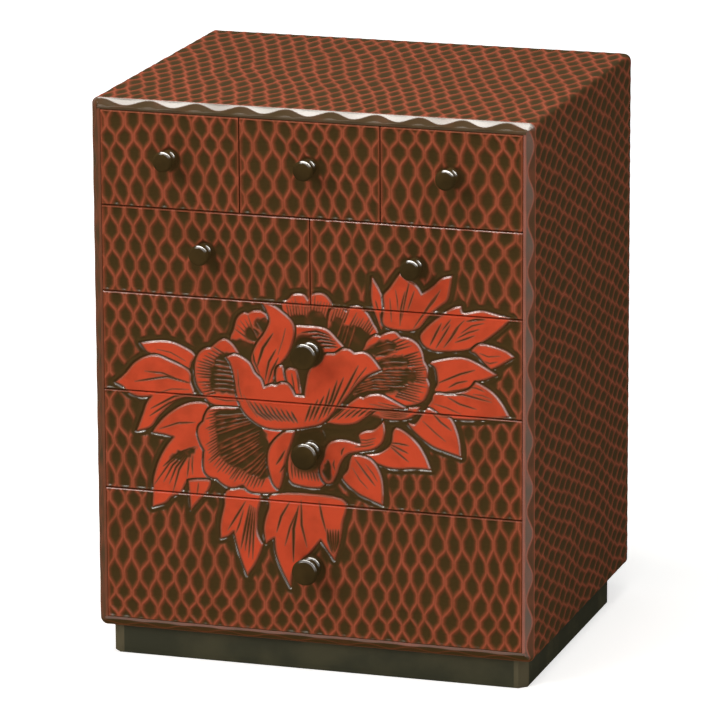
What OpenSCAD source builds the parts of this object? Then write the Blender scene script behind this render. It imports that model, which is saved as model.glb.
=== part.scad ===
// Small chest of eight drawers for a table top, in carved lacquer: a case of thin boards on a
// set-back plinth, with three drawers across the top, two below them and three of full width.
// Every drawer front lies flush in the case's front rim and covers the shelves and dividers.
// Millimetres. +Z is up and -Y is the front. The origin is on the table, in the middle of the
// chest's width and of its whole depth, knobs included.

/* [Case] */
// Width of the case
body_w = 300; // [260:1:360]
// Depth of the case, without the knobs
body_d = 238; // [200:1:300]
// Thickness of the top, bottom and side boards
board_t = 7; // [6:0.5:10]
// Radius of the case's four long edges
edge_r = 5; // [2:0.5:6]
// Width and depth of the chamfer around the front rim
rim_c = 5; // [2:0.5:6]
// Thickness of the back board
back_t = 4; // [3:0.5:6]
// Width of the rebate that takes the back board
back_lap = 4; // [3:0.5:5]

/* [Rows of drawers] */
// Height of the top row, with three drawers
top_row_h = 63.5; // [50:0.5:90]
// Height of the second row, with two drawers
second_row_h = 57.5; // [50:0.5:90]
// Height of the third row, a drawer of full width
third_row_h = 66.5; // [50:0.5:100]
// Height of the fourth row, a drawer of full width
fourth_row_h = 67; // [50:0.5:100]
// Height of the fifth row, the deepest drawer
fifth_row_h = 89.5; // [50:0.5:130]

/* [Shelves and dividers] */
// Thickness of a shelf
shelf_t = 5; // [4.5:0.5:8]
// Depth of the housing that holds a shelf in a side board
shelf_housing = 2; // [1:0.5:3]
// Thickness of an upright divider
divider_t = 5; // [4:0.5:8]
// Depth of the housing that holds a divider at its top and bottom
divider_housing = 1.5; // [1:0.25:2]

/* [Drawers] */
// Thickness of a drawer front
front_t = 9; // [8:0.5:14]
// Hairline between two drawer fronts, half of which shows along the case
front_gap = 0.8; // [0.4:0.1:1.4]
// Depth to which a drawer's side walls are let into its front
wall_lap = 4; // [3:0.5:5]
// Thickness of a drawer's side and back walls
wall_t = 5; // [4.5:0.5:8]
// Thickness of a drawer's bottom panel
panel_t = 3; // [2:0.5:5]
// Height of the bottom panel above the walls' lower edge
panel_lift = 3; // [2:0.5:6]
// Depth of the grooves that hold the bottom panel
groove_d = 2.5; // [1.5:0.25:3]
// Play between the bottom panel's edge and the bottom of its groove
panel_gap = 0.3; // [0.1:0.1:0.5]
// Play between a drawer's wall and its compartment, on each side
side_gap = 0.6; // [0.3:0.1:1.5]
// Play between a drawer's walls and the shelf they slide on
runner_gap = 0.2; // [0.1:0.1:0.5]
// Room above a drawer's walls
head_gap = 2; // [1:0.5:5]
// Room behind a closed drawer
back_gap = 3; // [1:0.5:10]
// Glue line between two walls of one drawer
glue_gap = 0.05; // [0.02:0.01:0.1]

/* [Knobs] */
// Diameter of a small knob's face, in the two upper rows
small_face_d = 13.5; // [10:0.5:16]
// Diameter of a small knob's foot
small_foot_d = 11; // [10:0.5:18]
// Reach of a small knob in front of its drawer
small_reach = 15.5; // [10:0.5:18]
// Diameter of a large knob's face, in the three lower rows
large_face_d = 17.5; // [12:0.5:22]
// Diameter of a large knob's foot
large_foot_d = 14; // [12:0.5:24]
// Reach of a large knob in front of its drawer
large_reach = 17.5; // [12:0.5:20]
// Diameter of a knob's neck
neck_d = 8; // [7.5:0.25:9.5]
// Thickness of a knob's face disc, with its rounded rim
face_t = 3.6; // [2.4:0.2:4]
// Thickness of a knob's foot, with its rounded rim
foot_t = 5; // [1.6:0.2:5.2]
// Height of the dome on a knob's face
dome_h = 0.8; // [0.4:0.1:1.2]
// Height of a knob above the middle of its drawer front
knob_rise = 2; // [0:0.5:6]

/* [Screws and pins] */
// Diameter of a knob's screw
screw_d = 3.5; // [3:0.25:4.5]
// Diameter of the screw's head
screw_head_d = 7; // [6:0.25:9]
// Height of the screw's head
screw_head_h = 2.2; // [1.6:0.2:3]
// Width of the slot in the screw's head
slot_w = 1; // [0.6:0.1:1.4]
// Depth of the slot in the screw's head
slot_d = 1; // [0.6:0.1:1.4]
// Length of the screw inside the knob
screw_grip = 6.5; // [4:0.5:7]
// Play around the screw in the drawer front
screw_play = 0.25; // [0.1:0.05:0.4]
// Play around the screw's thread in the knob, and at its end
thread_play = 0.05; // [0.02:0.01:0.1]
// Diameter of the pins that hold the back board
pin_d = 1.2; // [1:0.1:1.6]
// Length of the pins
pin_l = 12; // [8:0.5:20]
// Play around a pin
pin_play = 0.03; // [0.02:0.01:0.1]

/* [Plinth] */
// Height of the plinth
plinth_h = 20; // [12:1:40]
// Set-back of the plinth from the case's sides
plinth_side = 7; // [2:0.5:20]
// Set-back of the plinth from the case's front
plinth_front = 9; // [2:0.5:30]
// Set-back of the plinth from the case's back
plinth_back = 21.5; // [2:0.5:30]
// Thickness of the plinth's rails
rail_t = 12; // [10:0.5:18]
// Chamfer on the plinth's upright corners
plinth_c = 5; // [1:0.5:7]
// Leg of the three-cornered glue blocks inside the plinth
block_leg = 18; // [12:1:30]
// Height by which a glue block stays clear of the table
block_lift = 2; // [1:0.5:4]

/* [Hidden] */
// Smoothness of the round parts
$fn = 64;
// Overlap of a cut past the face it opens on
cut = 1;

red_net = [0.46, 0.16, 0.09];
dark_lacquer = [0.12, 0.09, 0.07];
plain_wood = [0.72, 0.57, 0.38];
panel_wood = [0.78, 0.65, 0.46];
knob_brown = [0.20, 0.13, 0.08];
steel = [0.72, 0.72, 0.70];
brass = [0.78, 0.62, 0.30];

// A drawer is its name, its row from the top and its column from the left
drawers = [
    ["top_left", 0, 0], ["top_middle", 0, 1], ["top_right", 0, 2],
    ["second_left", 1, 0], ["second_right", 1, 1],
    ["third", 2, 0], ["fourth", 3, 0], ["fifth", 4, 0]
];
drawer_pieces = ["front", "walls", "bottom", "knob", "screw"];
row_heights = [top_row_h, second_row_h, third_row_h, fourth_row_h, fifth_row_h];
row_columns = [3, 2, 1, 1, 1];
shelf_names = ["top_row_shelf", "second_row_shelf", "third_row_shelf", "fourth_row_shelf"];
last_row = len(row_heights) - 1;

// The sum of the first values of a list
function total(list, count) =
    count < 1 ? 0 : [for (i = [0:count - 1]) list[i]] * [for (i = [0:count - 1]) 1];

// The opening inside the four boards
opening_w = body_w - 2 * board_t;
opening_h = total(row_heights, len(row_heights));
opening_z = plinth_h + board_t;
body_h = opening_z + opening_h + board_t;

// The case's front and back, with the origin midway between the knobs' faces and the back
knob_reach = max(small_reach, large_reach);
case_front = (knob_reach - body_d) / 2;
case_back = case_front + body_d;
shelf_front = case_front + front_t;
shelf_back = case_back - back_t;

// Where the rows and their compartments lie
function row_top(row) = opening_z + opening_h - total(row_heights, row);
function row_bottom(row) = row_top(row + 1);
function column_w(row) = opening_w / row_columns[row];
function column_x(row, column) = -opening_w / 2 + column * column_w(row);
function compartment_left(d) = column_x(d[1], d[2]) + (d[2] == 0 ? 0 : divider_t / 2);
function compartment_right(d) =
    column_x(d[1], d[2] + 1) - (d[2] == row_columns[d[1]] - 1 ? 0 : divider_t / 2);
function compartment_floor(row) = row_bottom(row) + (row == last_row ? 0 : shelf_t / 2);
function compartment_ceiling(row) = row_top(row) - (row == 0 ? 0 : shelf_t / 2);

// A drawer front's edges, and the outer faces of the box behind it
function front_left(d) = column_x(d[1], d[2]) + front_gap / 2;
function front_right(d) = column_x(d[1], d[2] + 1) - front_gap / 2;
function box_left(d) = compartment_left(d) + side_gap;
function box_right(d) = compartment_right(d) - side_gap;
function box_floor(d) = compartment_floor(d[1]) + runner_gap;
function box_top(d) = compartment_ceiling(d[1]) - head_gap;
box_back = shelf_back - back_gap;

function knob_x(d) = (front_left(d) + front_right(d)) / 2;
function knob_z(d) = (row_top(d[1]) + row_bottom(d[1])) / 2 + knob_rise;
function is_large(d) = row_columns[d[1]] == 1;

// The back board's pins: one in each row at the sides, one in each upper column above and below
pin_x = opening_w / 2 + back_lap / 2;
pin_low_z = opening_z - back_lap / 2;
pin_high_z = opening_z + opening_h + back_lap / 2;
pin_places = concat(
    [for (row = [0:last_row], side = [-1, 1])
        [side * pin_x, (row_top(row) + row_bottom(row)) / 2]],
    [for (column = [0:2], z = [pin_low_z, pin_high_z])
        [column_x(0, column) + column_w(0) / 2, z]]
);

plinth_x = body_w / 2 - plinth_side;
plinth_y0 = case_front + plinth_front;
plinth_y1 = case_back - plinth_back;

// A box from one corner to the other
module block(low, high) {
    translate(low) cube(high - low);
}

// A shape drawn in X and Z, from one Y to another
module along_y(from, to) {
    translate([0, to, 0]) rotate([90, 0, 0]) linear_extrude(to - from) children();
}

// The section of the top board: its two upper corners are round
module board_section() {
    intersection() {
        translate([-body_w / 2, 0]) square([body_w, board_t]);
        union() {
            translate([-body_w / 2, -edge_r]) square([body_w, board_t]);
            translate([edge_r - body_w / 2, 0]) square([body_w - 2 * edge_r, board_t]);
            for (side = [-1, 1])
                translate([side * (body_w / 2 - edge_r), board_t - edge_r]) circle(edge_r);
        }
    }
}

// The front rim's chamfer: four square bars turned to 45 degrees along the rim's outer edges
module rim_cut() {
    bar = rim_c * sqrt(2);
    for (z = [plinth_h, body_h])
        translate([0, case_front, z]) rotate([45, 0, 0])
            cube([body_w + 2 * cut, bar, bar], center = true);
    for (side = [-1, 1])
        translate([side * body_w / 2, case_front, body_h / 2]) rotate([0, 0, 45])
            cube([bar, bar, body_h + 2 * cut], center = true);
}

// The space that the back board fills, with room for a cut behind it
module back_space(behind) {
    block([-opening_w / 2 - back_lap, shelf_back, opening_z - back_lap],
        [opening_w / 2 + back_lap, case_back + behind, opening_z + opening_h + back_lap]);
}

module pin_rods(radius, behind) {
    for (place = pin_places)
        translate([place[0], case_back + behind, place[1]]) rotate([90, 0, 0])
            cylinder(r = radius, h = pin_l + behind);
}

// What every outer board has cut away: the rim's chamfer, the back's rebate and the pin holes
module board_cuts() {
    rim_cut();
    back_space(cut);
    pin_rods(pin_d / 2 + pin_play, cut);
}

// A shelf below a row, which runs into the side boards' housings
module shelf_board(row) {
    block([-opening_w / 2 - shelf_housing, shelf_front, row_bottom(row) - shelf_t / 2],
        [opening_w / 2 + shelf_housing, shelf_back, row_bottom(row) + shelf_t / 2]);
}

// A divider to the left of a column, which runs into the housings above and below it
module divider_board(row, column) {
    block([column_x(row, column) - divider_t / 2, shelf_front,
            compartment_floor(row) - divider_housing],
        [column_x(row, column) + divider_t / 2, shelf_back,
            compartment_ceiling(row) + divider_housing]);
}

module all_dividers() {
    divider_board(0, 1);
    divider_board(0, 2);
    divider_board(1, 1);
}

module top_board() {
    color(red_net) difference() {
        translate([0, 0, body_h - board_t]) along_y(case_front, case_back) board_section();
        board_cuts();
        all_dividers();
    }
}

module bottom_board() {
    color(red_net) difference() {
        translate([0, 0, plinth_h + board_t]) mirror([0, 0, 1])
            along_y(case_front, case_back) board_section();
        board_cuts();
    }
}

module side_board(side) {
    color(red_net) difference() {
        translate([side * (body_w - board_t) / 2, (case_front + case_back) / 2,
                opening_z + opening_h / 2])
            cube([board_t, body_d, opening_h], center = true);
        board_cuts();
        for (row = [0:last_row - 1]) shelf_board(row);
    }
}

module back_board() {
    color(dark_lacquer) difference() {
        back_space(0);
        pin_rods(pin_d / 2 + pin_play, cut);
    }
}

module back_pins() {
    color(brass) pin_rods(pin_d / 2, 0);
}

module shelf(row) {
    color(plain_wood) difference() {
        shelf_board(row);
        all_dividers();
    }
}

module divider(row, column) {
    color(plain_wood) divider_board(row, column);
}

// The plinth's outline, with its upright corners chamfered
module plinth_outline() {
    x = plinth_x;
    c = plinth_c;
    polygon([
        [-x + c, plinth_y0], [x - c, plinth_y0], [x, plinth_y0 + c], [x, plinth_y1 - c],
        [x - c, plinth_y1], [-x + c, plinth_y1], [-x, plinth_y1 - c], [-x, plinth_y0 + c]
    ]);
}

// One rail of the plinth, mitred at both ends: corners are the outline's two corners,
// and inward points from each of them to the inside
module rail(corners, inward) {
    color(dark_lacquer) linear_extrude(plinth_h) intersection() {
        plinth_outline();
        polygon([corners[0], corners[1], corners[1] + rail_t * inward[1],
            corners[0] + rail_t * inward[0]]);
    }
}

module cross_rail(front) {
    y = front ? plinth_y0 : plinth_y1;
    into = front ? 1 : -1;
    rail([[-plinth_x, y], [plinth_x, y]], [[1, into], [-1, into]]);
}

module side_rail(side) {
    rail([[side * plinth_x, plinth_y0], [side * plinth_x, plinth_y1]], [[-side, 1], [-side, -1]]);
}

module plinth_glue_blocks() {
    inner_x = plinth_x - rail_t;
    color(plain_wood) for (side = [-1, 1], end = [0, 1])
        translate([side * inner_x, end == 0 ? plinth_y0 + rail_t : plinth_y1 - rail_t, block_lift])
            scale([-side, end == 0 ? 1 : -1, 1])
                linear_extrude(plinth_h - block_lift)
                    polygon([[0, 0], [block_leg, 0], [0, block_leg]]);
}

// Where a drawer's side walls are let into its front. Next to the case the cut runs out of the
// front's end, and next to a divider the front stands past the wall.
module wall_laps(d) {
    first = d[2] == 0;
    last = d[2] == row_columns[d[1]] - 1;
    block([first ? front_left(d) - cut : box_left(d), shelf_front - wall_lap, box_floor(d)],
        [box_left(d) + wall_t, shelf_front + cut, box_top(d)]);
    block([box_right(d) - wall_t, shelf_front - wall_lap, box_floor(d)],
        [last ? front_right(d) + cut : box_right(d), shelf_front + cut, box_top(d)]);
}

// The groove for a drawer's bottom panel, all round, and the panel itself with its play
module panel_space(d, play) {
    z = box_floor(d) + panel_lift;
    inside = wall_t - groove_d + play;
    block([box_left(d) + inside, shelf_front - groove_d + play, z],
        [box_right(d) - inside, box_back + (play == 0 ? cut : 0), z + panel_t]);
}

module screw_hole(d) {
    translate([knob_x(d), shelf_front + cut, knob_z(d)]) rotate([90, 0, 0])
        cylinder(r = screw_d / 2 + screw_play, h = front_t + 2 * cut);
}

module drawer_front(d) {
    color(red_net) difference() {
        block([front_left(d), case_front, row_bottom(d[1]) + front_gap / 2],
            [front_right(d), shelf_front, row_top(d[1]) - front_gap / 2]);
        wall_laps(d);
        panel_space(d, 0);
        screw_hole(d);
    }
}

module drawer_side(d, left) {
    difference() {
        block([left, shelf_front - wall_lap, box_floor(d)], [left + wall_t, box_back, box_top(d)]);
        panel_space(d, 0);
    }
}

module drawer_walls(d) {
    color(plain_wood) {
        drawer_side(d, box_left(d));
        drawer_side(d, box_right(d) - wall_t);
        block([box_left(d) + wall_t + glue_gap, box_back - wall_t, box_floor(d) + panel_lift + panel_t],
            [box_right(d) - wall_t - glue_gap, box_back, box_top(d)]);
    }
}

module drawer_bottom(d) {
    color(panel_wood) panel_space(d, panel_gap);
}

// Half of a knob's profile, drawn out from its axis and up from its foot: a foot and a face disc
// with round rims on a straight neck, and a shallow dome
module knob_profile(face_d, foot_d, reach) {
    face_z = reach - dome_h;
    face_r = face_d / 2 - face_t / 2;
    dome_r = (face_r * face_r + dome_h * dome_h) / (2 * dome_h);
    square([foot_d / 2 - foot_t / 2, foot_t]);
    translate([foot_d / 2 - foot_t / 2, foot_t / 2]) circle(foot_t / 2);
    square([neck_d / 2, face_z]);
    translate([0, face_z - face_t]) square([face_r, face_t]);
    translate([face_r, face_z - face_t / 2]) circle(face_t / 2);
    intersection() {
        translate([0, reach - dome_r]) circle(dome_r, $fn = 4 * $fn);
        translate([0, face_z - cut / 2]) square([face_r, dome_h + cut]);
    }
}

module knob(d) {
    face_d = is_large(d) ? large_face_d : small_face_d;
    foot_d = is_large(d) ? large_foot_d : small_foot_d;
    reach = is_large(d) ? large_reach : small_reach;
    color(knob_brown) translate([knob_x(d), case_front, knob_z(d)]) rotate([90, 0, 0])
        difference() {
            rotate_extrude() knob_profile(face_d, foot_d, reach);
            translate([0, 0, -cut])
                cylinder(r = screw_d / 2 + thread_play, h = screw_grip + thread_play + cut);
        }
}

module screw(d) {
    color(steel) translate([knob_x(d), shelf_front, knob_z(d)]) rotate([90, 0, 0])
        difference() {
            union() {
                cylinder(r = screw_d / 2, h = front_t + screw_grip);
                translate([0, 0, -screw_head_h]) cylinder(r = screw_head_d / 2, h = screw_head_h);
            }
            translate([0, 0, slot_d / 2 - screw_head_h - cut / 2])
                cube([screw_head_d + 2 * cut, slot_w, slot_d + cut], center = true);
        }
}

top_board();
bottom_board();
side_board(-1);  // left_side_board
side_board(1);  // right_side_board
back_board();
back_pins();
for (row = [0:last_row - 1])
    shelf(row);
divider(0, 1);  // top_row_left_divider
divider(0, 2);  // top_row_right_divider
divider(1, 1);  // second_row_divider
cross_rail(true);  // plinth_front_rail
cross_rail(false);  // plinth_back_rail
side_rail(-1);  // plinth_left_rail
side_rail(1);  // plinth_right_rail
plinth_glue_blocks();
for (d = drawers) {
    drawer_front(d);
    drawer_walls(d);
    drawer_bottom(d);
    knob(d);
    screw(d);
}
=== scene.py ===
# %% [markdown]
# # A small chest of eight drawers in carved lacquer
#
# The real chest is a box of thin boards with eight drawers. Its outside is carved with gouges and
# then lacquered dark in the hollows and red on the ridges. On the fronts a net of thin ridges runs
# across every drawer, and a large peony with its leaves lies over the net.
#
# The carving is real relief here: each carved board starts as a fine grid that is pushed in where
# the gouge went. The same numbers that push the grid are kept on its vertices, so that the lacquer
# can tell a ridge from a hollow. A picture could not do that, and would stay flat from the side.

# %% Load the frame
import math

import bmesh
import bpy
import numpy as np
from mathutils import Matrix, Vector


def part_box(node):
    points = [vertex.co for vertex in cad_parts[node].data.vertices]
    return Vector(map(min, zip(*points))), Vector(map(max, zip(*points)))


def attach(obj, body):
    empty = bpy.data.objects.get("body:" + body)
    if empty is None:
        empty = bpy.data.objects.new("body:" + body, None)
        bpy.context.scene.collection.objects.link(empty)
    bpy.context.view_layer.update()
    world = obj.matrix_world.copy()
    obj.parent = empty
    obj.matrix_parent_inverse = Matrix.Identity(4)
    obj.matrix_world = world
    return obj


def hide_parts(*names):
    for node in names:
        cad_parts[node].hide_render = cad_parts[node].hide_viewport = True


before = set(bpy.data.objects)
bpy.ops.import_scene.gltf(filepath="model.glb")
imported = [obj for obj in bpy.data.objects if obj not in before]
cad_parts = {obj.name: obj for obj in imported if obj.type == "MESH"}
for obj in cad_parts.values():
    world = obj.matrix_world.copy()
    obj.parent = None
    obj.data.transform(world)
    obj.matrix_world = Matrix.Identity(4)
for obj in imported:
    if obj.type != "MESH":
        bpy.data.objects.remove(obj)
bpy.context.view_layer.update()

# %% [markdown]
# ## Sizes
#
# Every place comes from the frame. The carving is planned in millimetres, because that is how a
# carver thinks of a gouge, and is turned to metres where it becomes a mesh.

# %% Sizes from the frame, in millimetres
MM = 0.001
TAU = 2 * math.pi


def box_mm(node):
    """The lowest and highest corner of a node, in millimetres."""
    low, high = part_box(node)
    return np.array(low) / MM, np.array(high) / MM


top_low, top_high = box_mm("top_board")
bottom_low, bottom_high = box_mm("bottom_board")
back_low, back_high = box_mm("back_board")
HALF_W = top_high[0]
FRONT_Y = top_low[1]
BACK_Y = top_high[1]
BOARD = top_high[2] - top_low[2]
EDGE_R = 5.0
CHAMFER = 5.0
ROWS = [
    ["top_left", "top_middle", "top_right"], ["second_left", "second_right"], ["third"], ["fourth"],
    ["fifth"],
]
DRAWERS = [name for row in ROWS for name in row]
print("case: %.0f wide, %.0f deep, %.0f high" % (2 * HALF_W, BACK_Y - FRONT_Y, top_high[2]))

# %% [markdown]
# ## Camera
#
# The camera looks from the right and from a little above, with a long lens from almost four
# metres, so the chest's upright edges stay nearly parallel.

# %% The camera
AZIMUTH = math.radians(17.743)
ELEVATION = math.radians(14.485)
ROLL = math.radians(-0.281)
TARGET = Vector((-0.00232, 0.00225, 0.18514))
DISTANCE = 3.7202
LENS = 278.36

towards = Vector((
    math.sin(AZIMUTH) * math.cos(ELEVATION), -math.cos(AZIMUTH) * math.cos(ELEVATION),
    math.sin(ELEVATION),
))
level_right = Vector((math.cos(AZIMUTH), math.sin(AZIMUTH), 0.0))
level_up = towards.cross(level_right)
right = level_right * math.cos(ROLL) + level_up * math.sin(ROLL)
up = level_up * math.cos(ROLL) - level_right * math.sin(ROLL)

camera = bpy.data.objects.new("camera", bpy.data.cameras.new("camera"))
bpy.context.scene.collection.objects.link(camera)
facing = Matrix((right, up, towards)).transposed().to_4x4()
camera.matrix_world = Matrix.Translation(TARGET + towards * DISTANCE) @ facing
camera.data.sensor_width = 36.0
camera.data.lens = LENS
camera.data.clip_end = 50.0
bpy.context.scene.camera = camera
bpy.context.scene.view_settings.view_transform = "Standard"
print("camera:", [round(c, 3) for c in camera.location])

# %% [markdown]
# ## The floor and the light
#
# The floor is pale and carries the soft shadow. The background is white to the camera and in
# reflections, but gives the chest itself only a plain level of light. The lamps light the floor
# less and less with distance, so it glows a little more there and stays white to its far edge.
#
# Three soft lamps, all a little warm, do the rest. A narrow strip overhead and a narrower one to
# the right draw the white glints along the carved edges. A wide one in front, to the left, fills
# the shadows.

# %% Node helpers
def add(tree, kind, values=None, **settings):
    """Adds a node, applies its settings, and fills its sockets with numbers or links."""
    made = tree.nodes.new(kind)
    for key, value in settings.items():
        setattr(made, key, value)
    for key, value in (values or {}).items():
        socket = made.inputs[key]
        if isinstance(value, bpy.types.NodeSocket):
            tree.links.new(value, socket)
        else:
            socket.default_value = value
    return made


def calc(tree, operation, first, second=0.0, third=0.0):
    """One sum on two or three numbers."""
    values = {0: first, 1: second, 2: third}
    return add(tree, "ShaderNodeMath", values, operation=operation).outputs[0]


def blend_colours(tree, share, first, second):
    """Goes from the first colour to the second with a share from 0 to 1."""
    values = {0: share, 6: first, 7: second}
    return add(tree, "ShaderNodeMix", values, data_type="RGBA").outputs[2]


def spread(tree, value, low, high, to_low=0.0, to_high=1.0, smooth=True):
    """Maps a value's span onto another span, and stops at its ends."""
    made = add(tree, "ShaderNodeMapRange", {
        "Value": value, "From Min": low, "From Max": high, "To Min": to_low, "To Max": to_high,
    }, interpolation_type="SMOOTHSTEP" if smooth else "LINEAR")
    return made.outputs["Result"]


def noise(tree, place, scale, detail, **more):
    """A cloudy pattern around 0.5. A larger scale makes smaller clouds."""
    values = {"Vector": place, "Scale": scale, "Detail": detail, **more}
    return add(tree, "ShaderNodeTexNoise", values).outputs["Fac"]


def place_of(tree):
    """A point's place on its piece, in metres."""
    return add(tree, "ShaderNodeTexCoord").outputs["Object"]


def kept(tree, name):
    """A number that is kept on the piece's vertices."""
    return add(tree, "ShaderNodeAttribute", attribute_name=name).outputs["Fac"]


def bump_of(tree, height, depth):
    """A bump of a real depth in metres."""
    values = {"Height": height, "Distance": depth, "Strength": 1.0}
    return add(tree, "ShaderNodeBump", values).outputs["Normal"]


def seen_plainly(tree):
    """1 for the camera, for a reflection and through glass, and 0 for the light on the chest."""
    rays = add(tree, "ShaderNodeLightPath").outputs
    seen = calc(tree, "MAXIMUM", rays["Is Camera Ray"], rays["Is Glossy Ray"])
    return calc(tree, "MAXIMUM", seen, rays["Is Transmission Ray"])


def new_material(name):
    """An empty material with an output, and its tree."""
    made = bpy.data.materials.new(name)
    made.use_nodes = True
    made.node_tree.nodes.clear()
    return made, made.node_tree


def end_in_shader(tree, values):
    """Ends a material in a Principled shader that is given these values."""
    shader = add(tree, "ShaderNodeBsdfPrincipled", values)
    add(tree, "ShaderNodeOutputMaterial", {"Surface": shader.outputs[0]})


# %% Floor, world and lamps
WHITE = (1.0, 1.0, 1.0, 1.0)
LAMP_COLOUR = (1.0, 0.97, 0.91)
WORLD_LIGHT = 0.29
NEAR_GLOW, FAR_GLOW = 0.55, 0.90
FLOOR_REACH = 40.0

floor_paint, tree = new_material("pale_floor")
matt = add(tree, "ShaderNodeBsdfDiffuse", {"Color": (0.80, 0.80, 0.80, 1.0)}).outputs[0]
away = add(tree, "ShaderNodeVectorMath", {0: place_of(tree)}, operation="LENGTH").outputs["Value"]
level = spread(tree, away, 0.6, 2.0, NEAR_GLOW, FAR_GLOW)
strength = calc(tree, "MULTIPLY", seen_plainly(tree), level)
glow = add(tree, "ShaderNodeEmission", {"Color": WHITE, "Strength": strength}).outputs[0]
both = add(tree, "ShaderNodeAddShader", {0: matt, 1: glow}).outputs[0]
add(tree, "ShaderNodeOutputMaterial", {"Surface": both})

bm = bmesh.new()
bmesh.ops.create_grid(bm, x_segments=8, y_segments=8, size=FLOOR_REACH)
floor_mesh = bpy.data.meshes.new("floor")
bm.to_mesh(floor_mesh)
bm.free()
floor = bpy.data.objects.new("floor", floor_mesh)
floor_mesh.materials.append(floor_paint)
bpy.context.scene.collection.objects.link(floor)

world = bpy.data.worlds.new("studio")
bpy.context.scene.world = world
world.use_nodes = True
tree = world.node_tree
tree.nodes.clear()
level = spread(tree, seen_plainly(tree), 0.0, 1.0, WORLD_LIGHT, 1.0, smooth=False)
sky = add(tree, "ShaderNodeBackground", {"Color": WHITE, "Strength": level}).outputs[0]
add(tree, "ShaderNodeOutputWorld", {"Surface": sky})


def strip_lamp(name, start, end, depth, power):
    """A soft lamp that reaches from one point to another and faces the chest."""
    start, end = Vector(start), Vector(end)
    light = bpy.data.lights.new(name, "AREA")
    light.shape = "RECTANGLE"
    light.size, light.size_y = (end - start).length, depth
    light.energy = power
    light.color = LAMP_COLOUR
    lamp = bpy.data.objects.new(name, light)
    along = (end - start).normalized()
    back = (start + end) / 2 - Vector((0.0, 0.0, 0.2))
    back = (back - along * back.dot(along)).normalized()
    turn = Matrix((along, back.cross(along), back)).transposed().to_4x4()
    lamp.matrix_world = Matrix.Translation((start + end) / 2) @ turn
    bpy.context.scene.collection.objects.link(lamp)


strip_lamp("lamp_above", (-0.85, -0.19, 1.66), (0.51, -0.48, 1.75), 0.40, 17.5)
strip_lamp("lamp_right", (0.51, -0.48, 1.75), (1.44, -0.53, 0.90), 0.16, 6.3)
strip_lamp("lamp_front", (-2.24, -1.62, 1.95), (-0.96, -2.58, 1.95), 1.60, 50.0)
print("light: floor, world and", len(bpy.data.lights), "lamps")

# %% [markdown]
# ## Carving as numbers
#
# A gouge cut can be told by two numbers at each point: how deep the wood is below its first face,
# and how far the point lies from the border between red and dark lacquer. The second one is above
# zero on the red and below zero in the dark, in millimetres. It changes evenly from point to point,
# so the shader can draw a sharp border between two vertices of a grid.

# %% Curves and soft steps
def soft_step(low, high, value):
    """Goes smoothly from 0 at low to 1 at high."""
    share = np.clip((value - low) / (high - low), 0, 1)
    return share * share * (3 - 2 * share)


WAVES = 5


def wander(a, b, seed, length):
    """A smooth wandering of about -1 to 1 over the surface, made of a few slanting waves."""
    draw = np.random.default_rng(seed)
    total = np.zeros_like(a)
    for _ in range(WAVES):
        heading = draw.uniform(0, TAU)
        wave = length * draw.uniform(0.7, 1.6)
        phase = draw.uniform(0, TAU)
        total += np.sin((a * math.cos(heading) + b * math.sin(heading)) * TAU / wave + phase)
    return total / math.sqrt(WAVES)


def smooth_outline(points, steps=5):
    """A closed smooth curve through points. A point that is given twice makes a corner."""
    ring = np.array(points, float)
    made = []
    for i in range(len(ring)):
        before, start, end, after = (ring[(i + k) % len(ring)] for k in (-1, 0, 1, 2))
        if np.allclose(start, end):
            continue
        leave, arrive = (end - before) / 2, (after - start) / 2
        for t in np.arange(steps) / steps:
            made.append(
                start * (2 * t**3 - 3 * t**2 + 1) + leave * (t**3 - 2 * t**2 + t)
                + end * (3 * t**2 - 2 * t**3) + arrive * (t**3 - t**2)
            )
    return np.array(made)


# %% Distance to an outline and to a line
def segment_distance(a, b, start, end):
    """The distance from points to one straight stretch, and where along it the nearest point is."""
    along = end - start
    share = ((a - start[0]) * along[0] + (b - start[1]) * along[1]) / max(along @ along, 1e-9)
    share = np.clip(share, 0, 1)
    return np.hypot(a - start[0] - share * along[0], b - start[1] - share * along[1]), share


def inside_distance(a, b, outline):
    """The distance in millimetres to a closed outline, above zero inside it."""
    nearest = np.full(a.shape, 1e9)
    inside = np.zeros(a.shape, bool)
    for start, end in zip(outline, np.roll(outline, -1, axis=0)):
        nearest = np.minimum(nearest, segment_distance(a, b, start, end)[0])
        if start[1] != end[1]:
            crosses = (start[1] > b) != (end[1] > b)
            cut_at = start[0] + (b - start[1]) * (end[0] - start[0]) / (end[1] - start[1])
            inside ^= crosses & (a < cut_at)
    return np.where(inside, nearest, -nearest)


def stroke_distance(a, b, line, half_width, comb):
    """How far points lie inside a gouge stroke. A comb stroke is wide at its start and pointed at
    its end, and any other is pointed at both."""
    line = np.array(line, float)
    found = np.full(a.shape, -1e9)
    spans = len(line) - 1
    for i in range(spans):
        away, share = segment_distance(a, b, line[i], line[i + 1])
        t = (i + share) / spans
        taper = 1 - t if comb else np.sin(np.clip(t, 0.02, 0.98) * math.pi)
        found = np.maximum(found, half_width * np.sqrt(taper) - away)
    return found


print("curve helpers ready")

# %% [markdown]
# ## The net
#
# Seen from the front, the net is a set of thin wavy ridges that run up the chest. Each ridge waves
# against its neighbours, so they meet and part again, and leave long hollows between them. The real
# one is cut by hand, and so the lines here wander a little before they are drawn.

# %% The net of ridges
LINE_GAP = 5.65
CELL_LENGTH = 24.0
SWING, SWING_STOP = 2.75, 2.25
RIDGE_HALF = 0.46
HOLLOW_DEPTH = 0.95
CHATTER = 0.035


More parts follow.
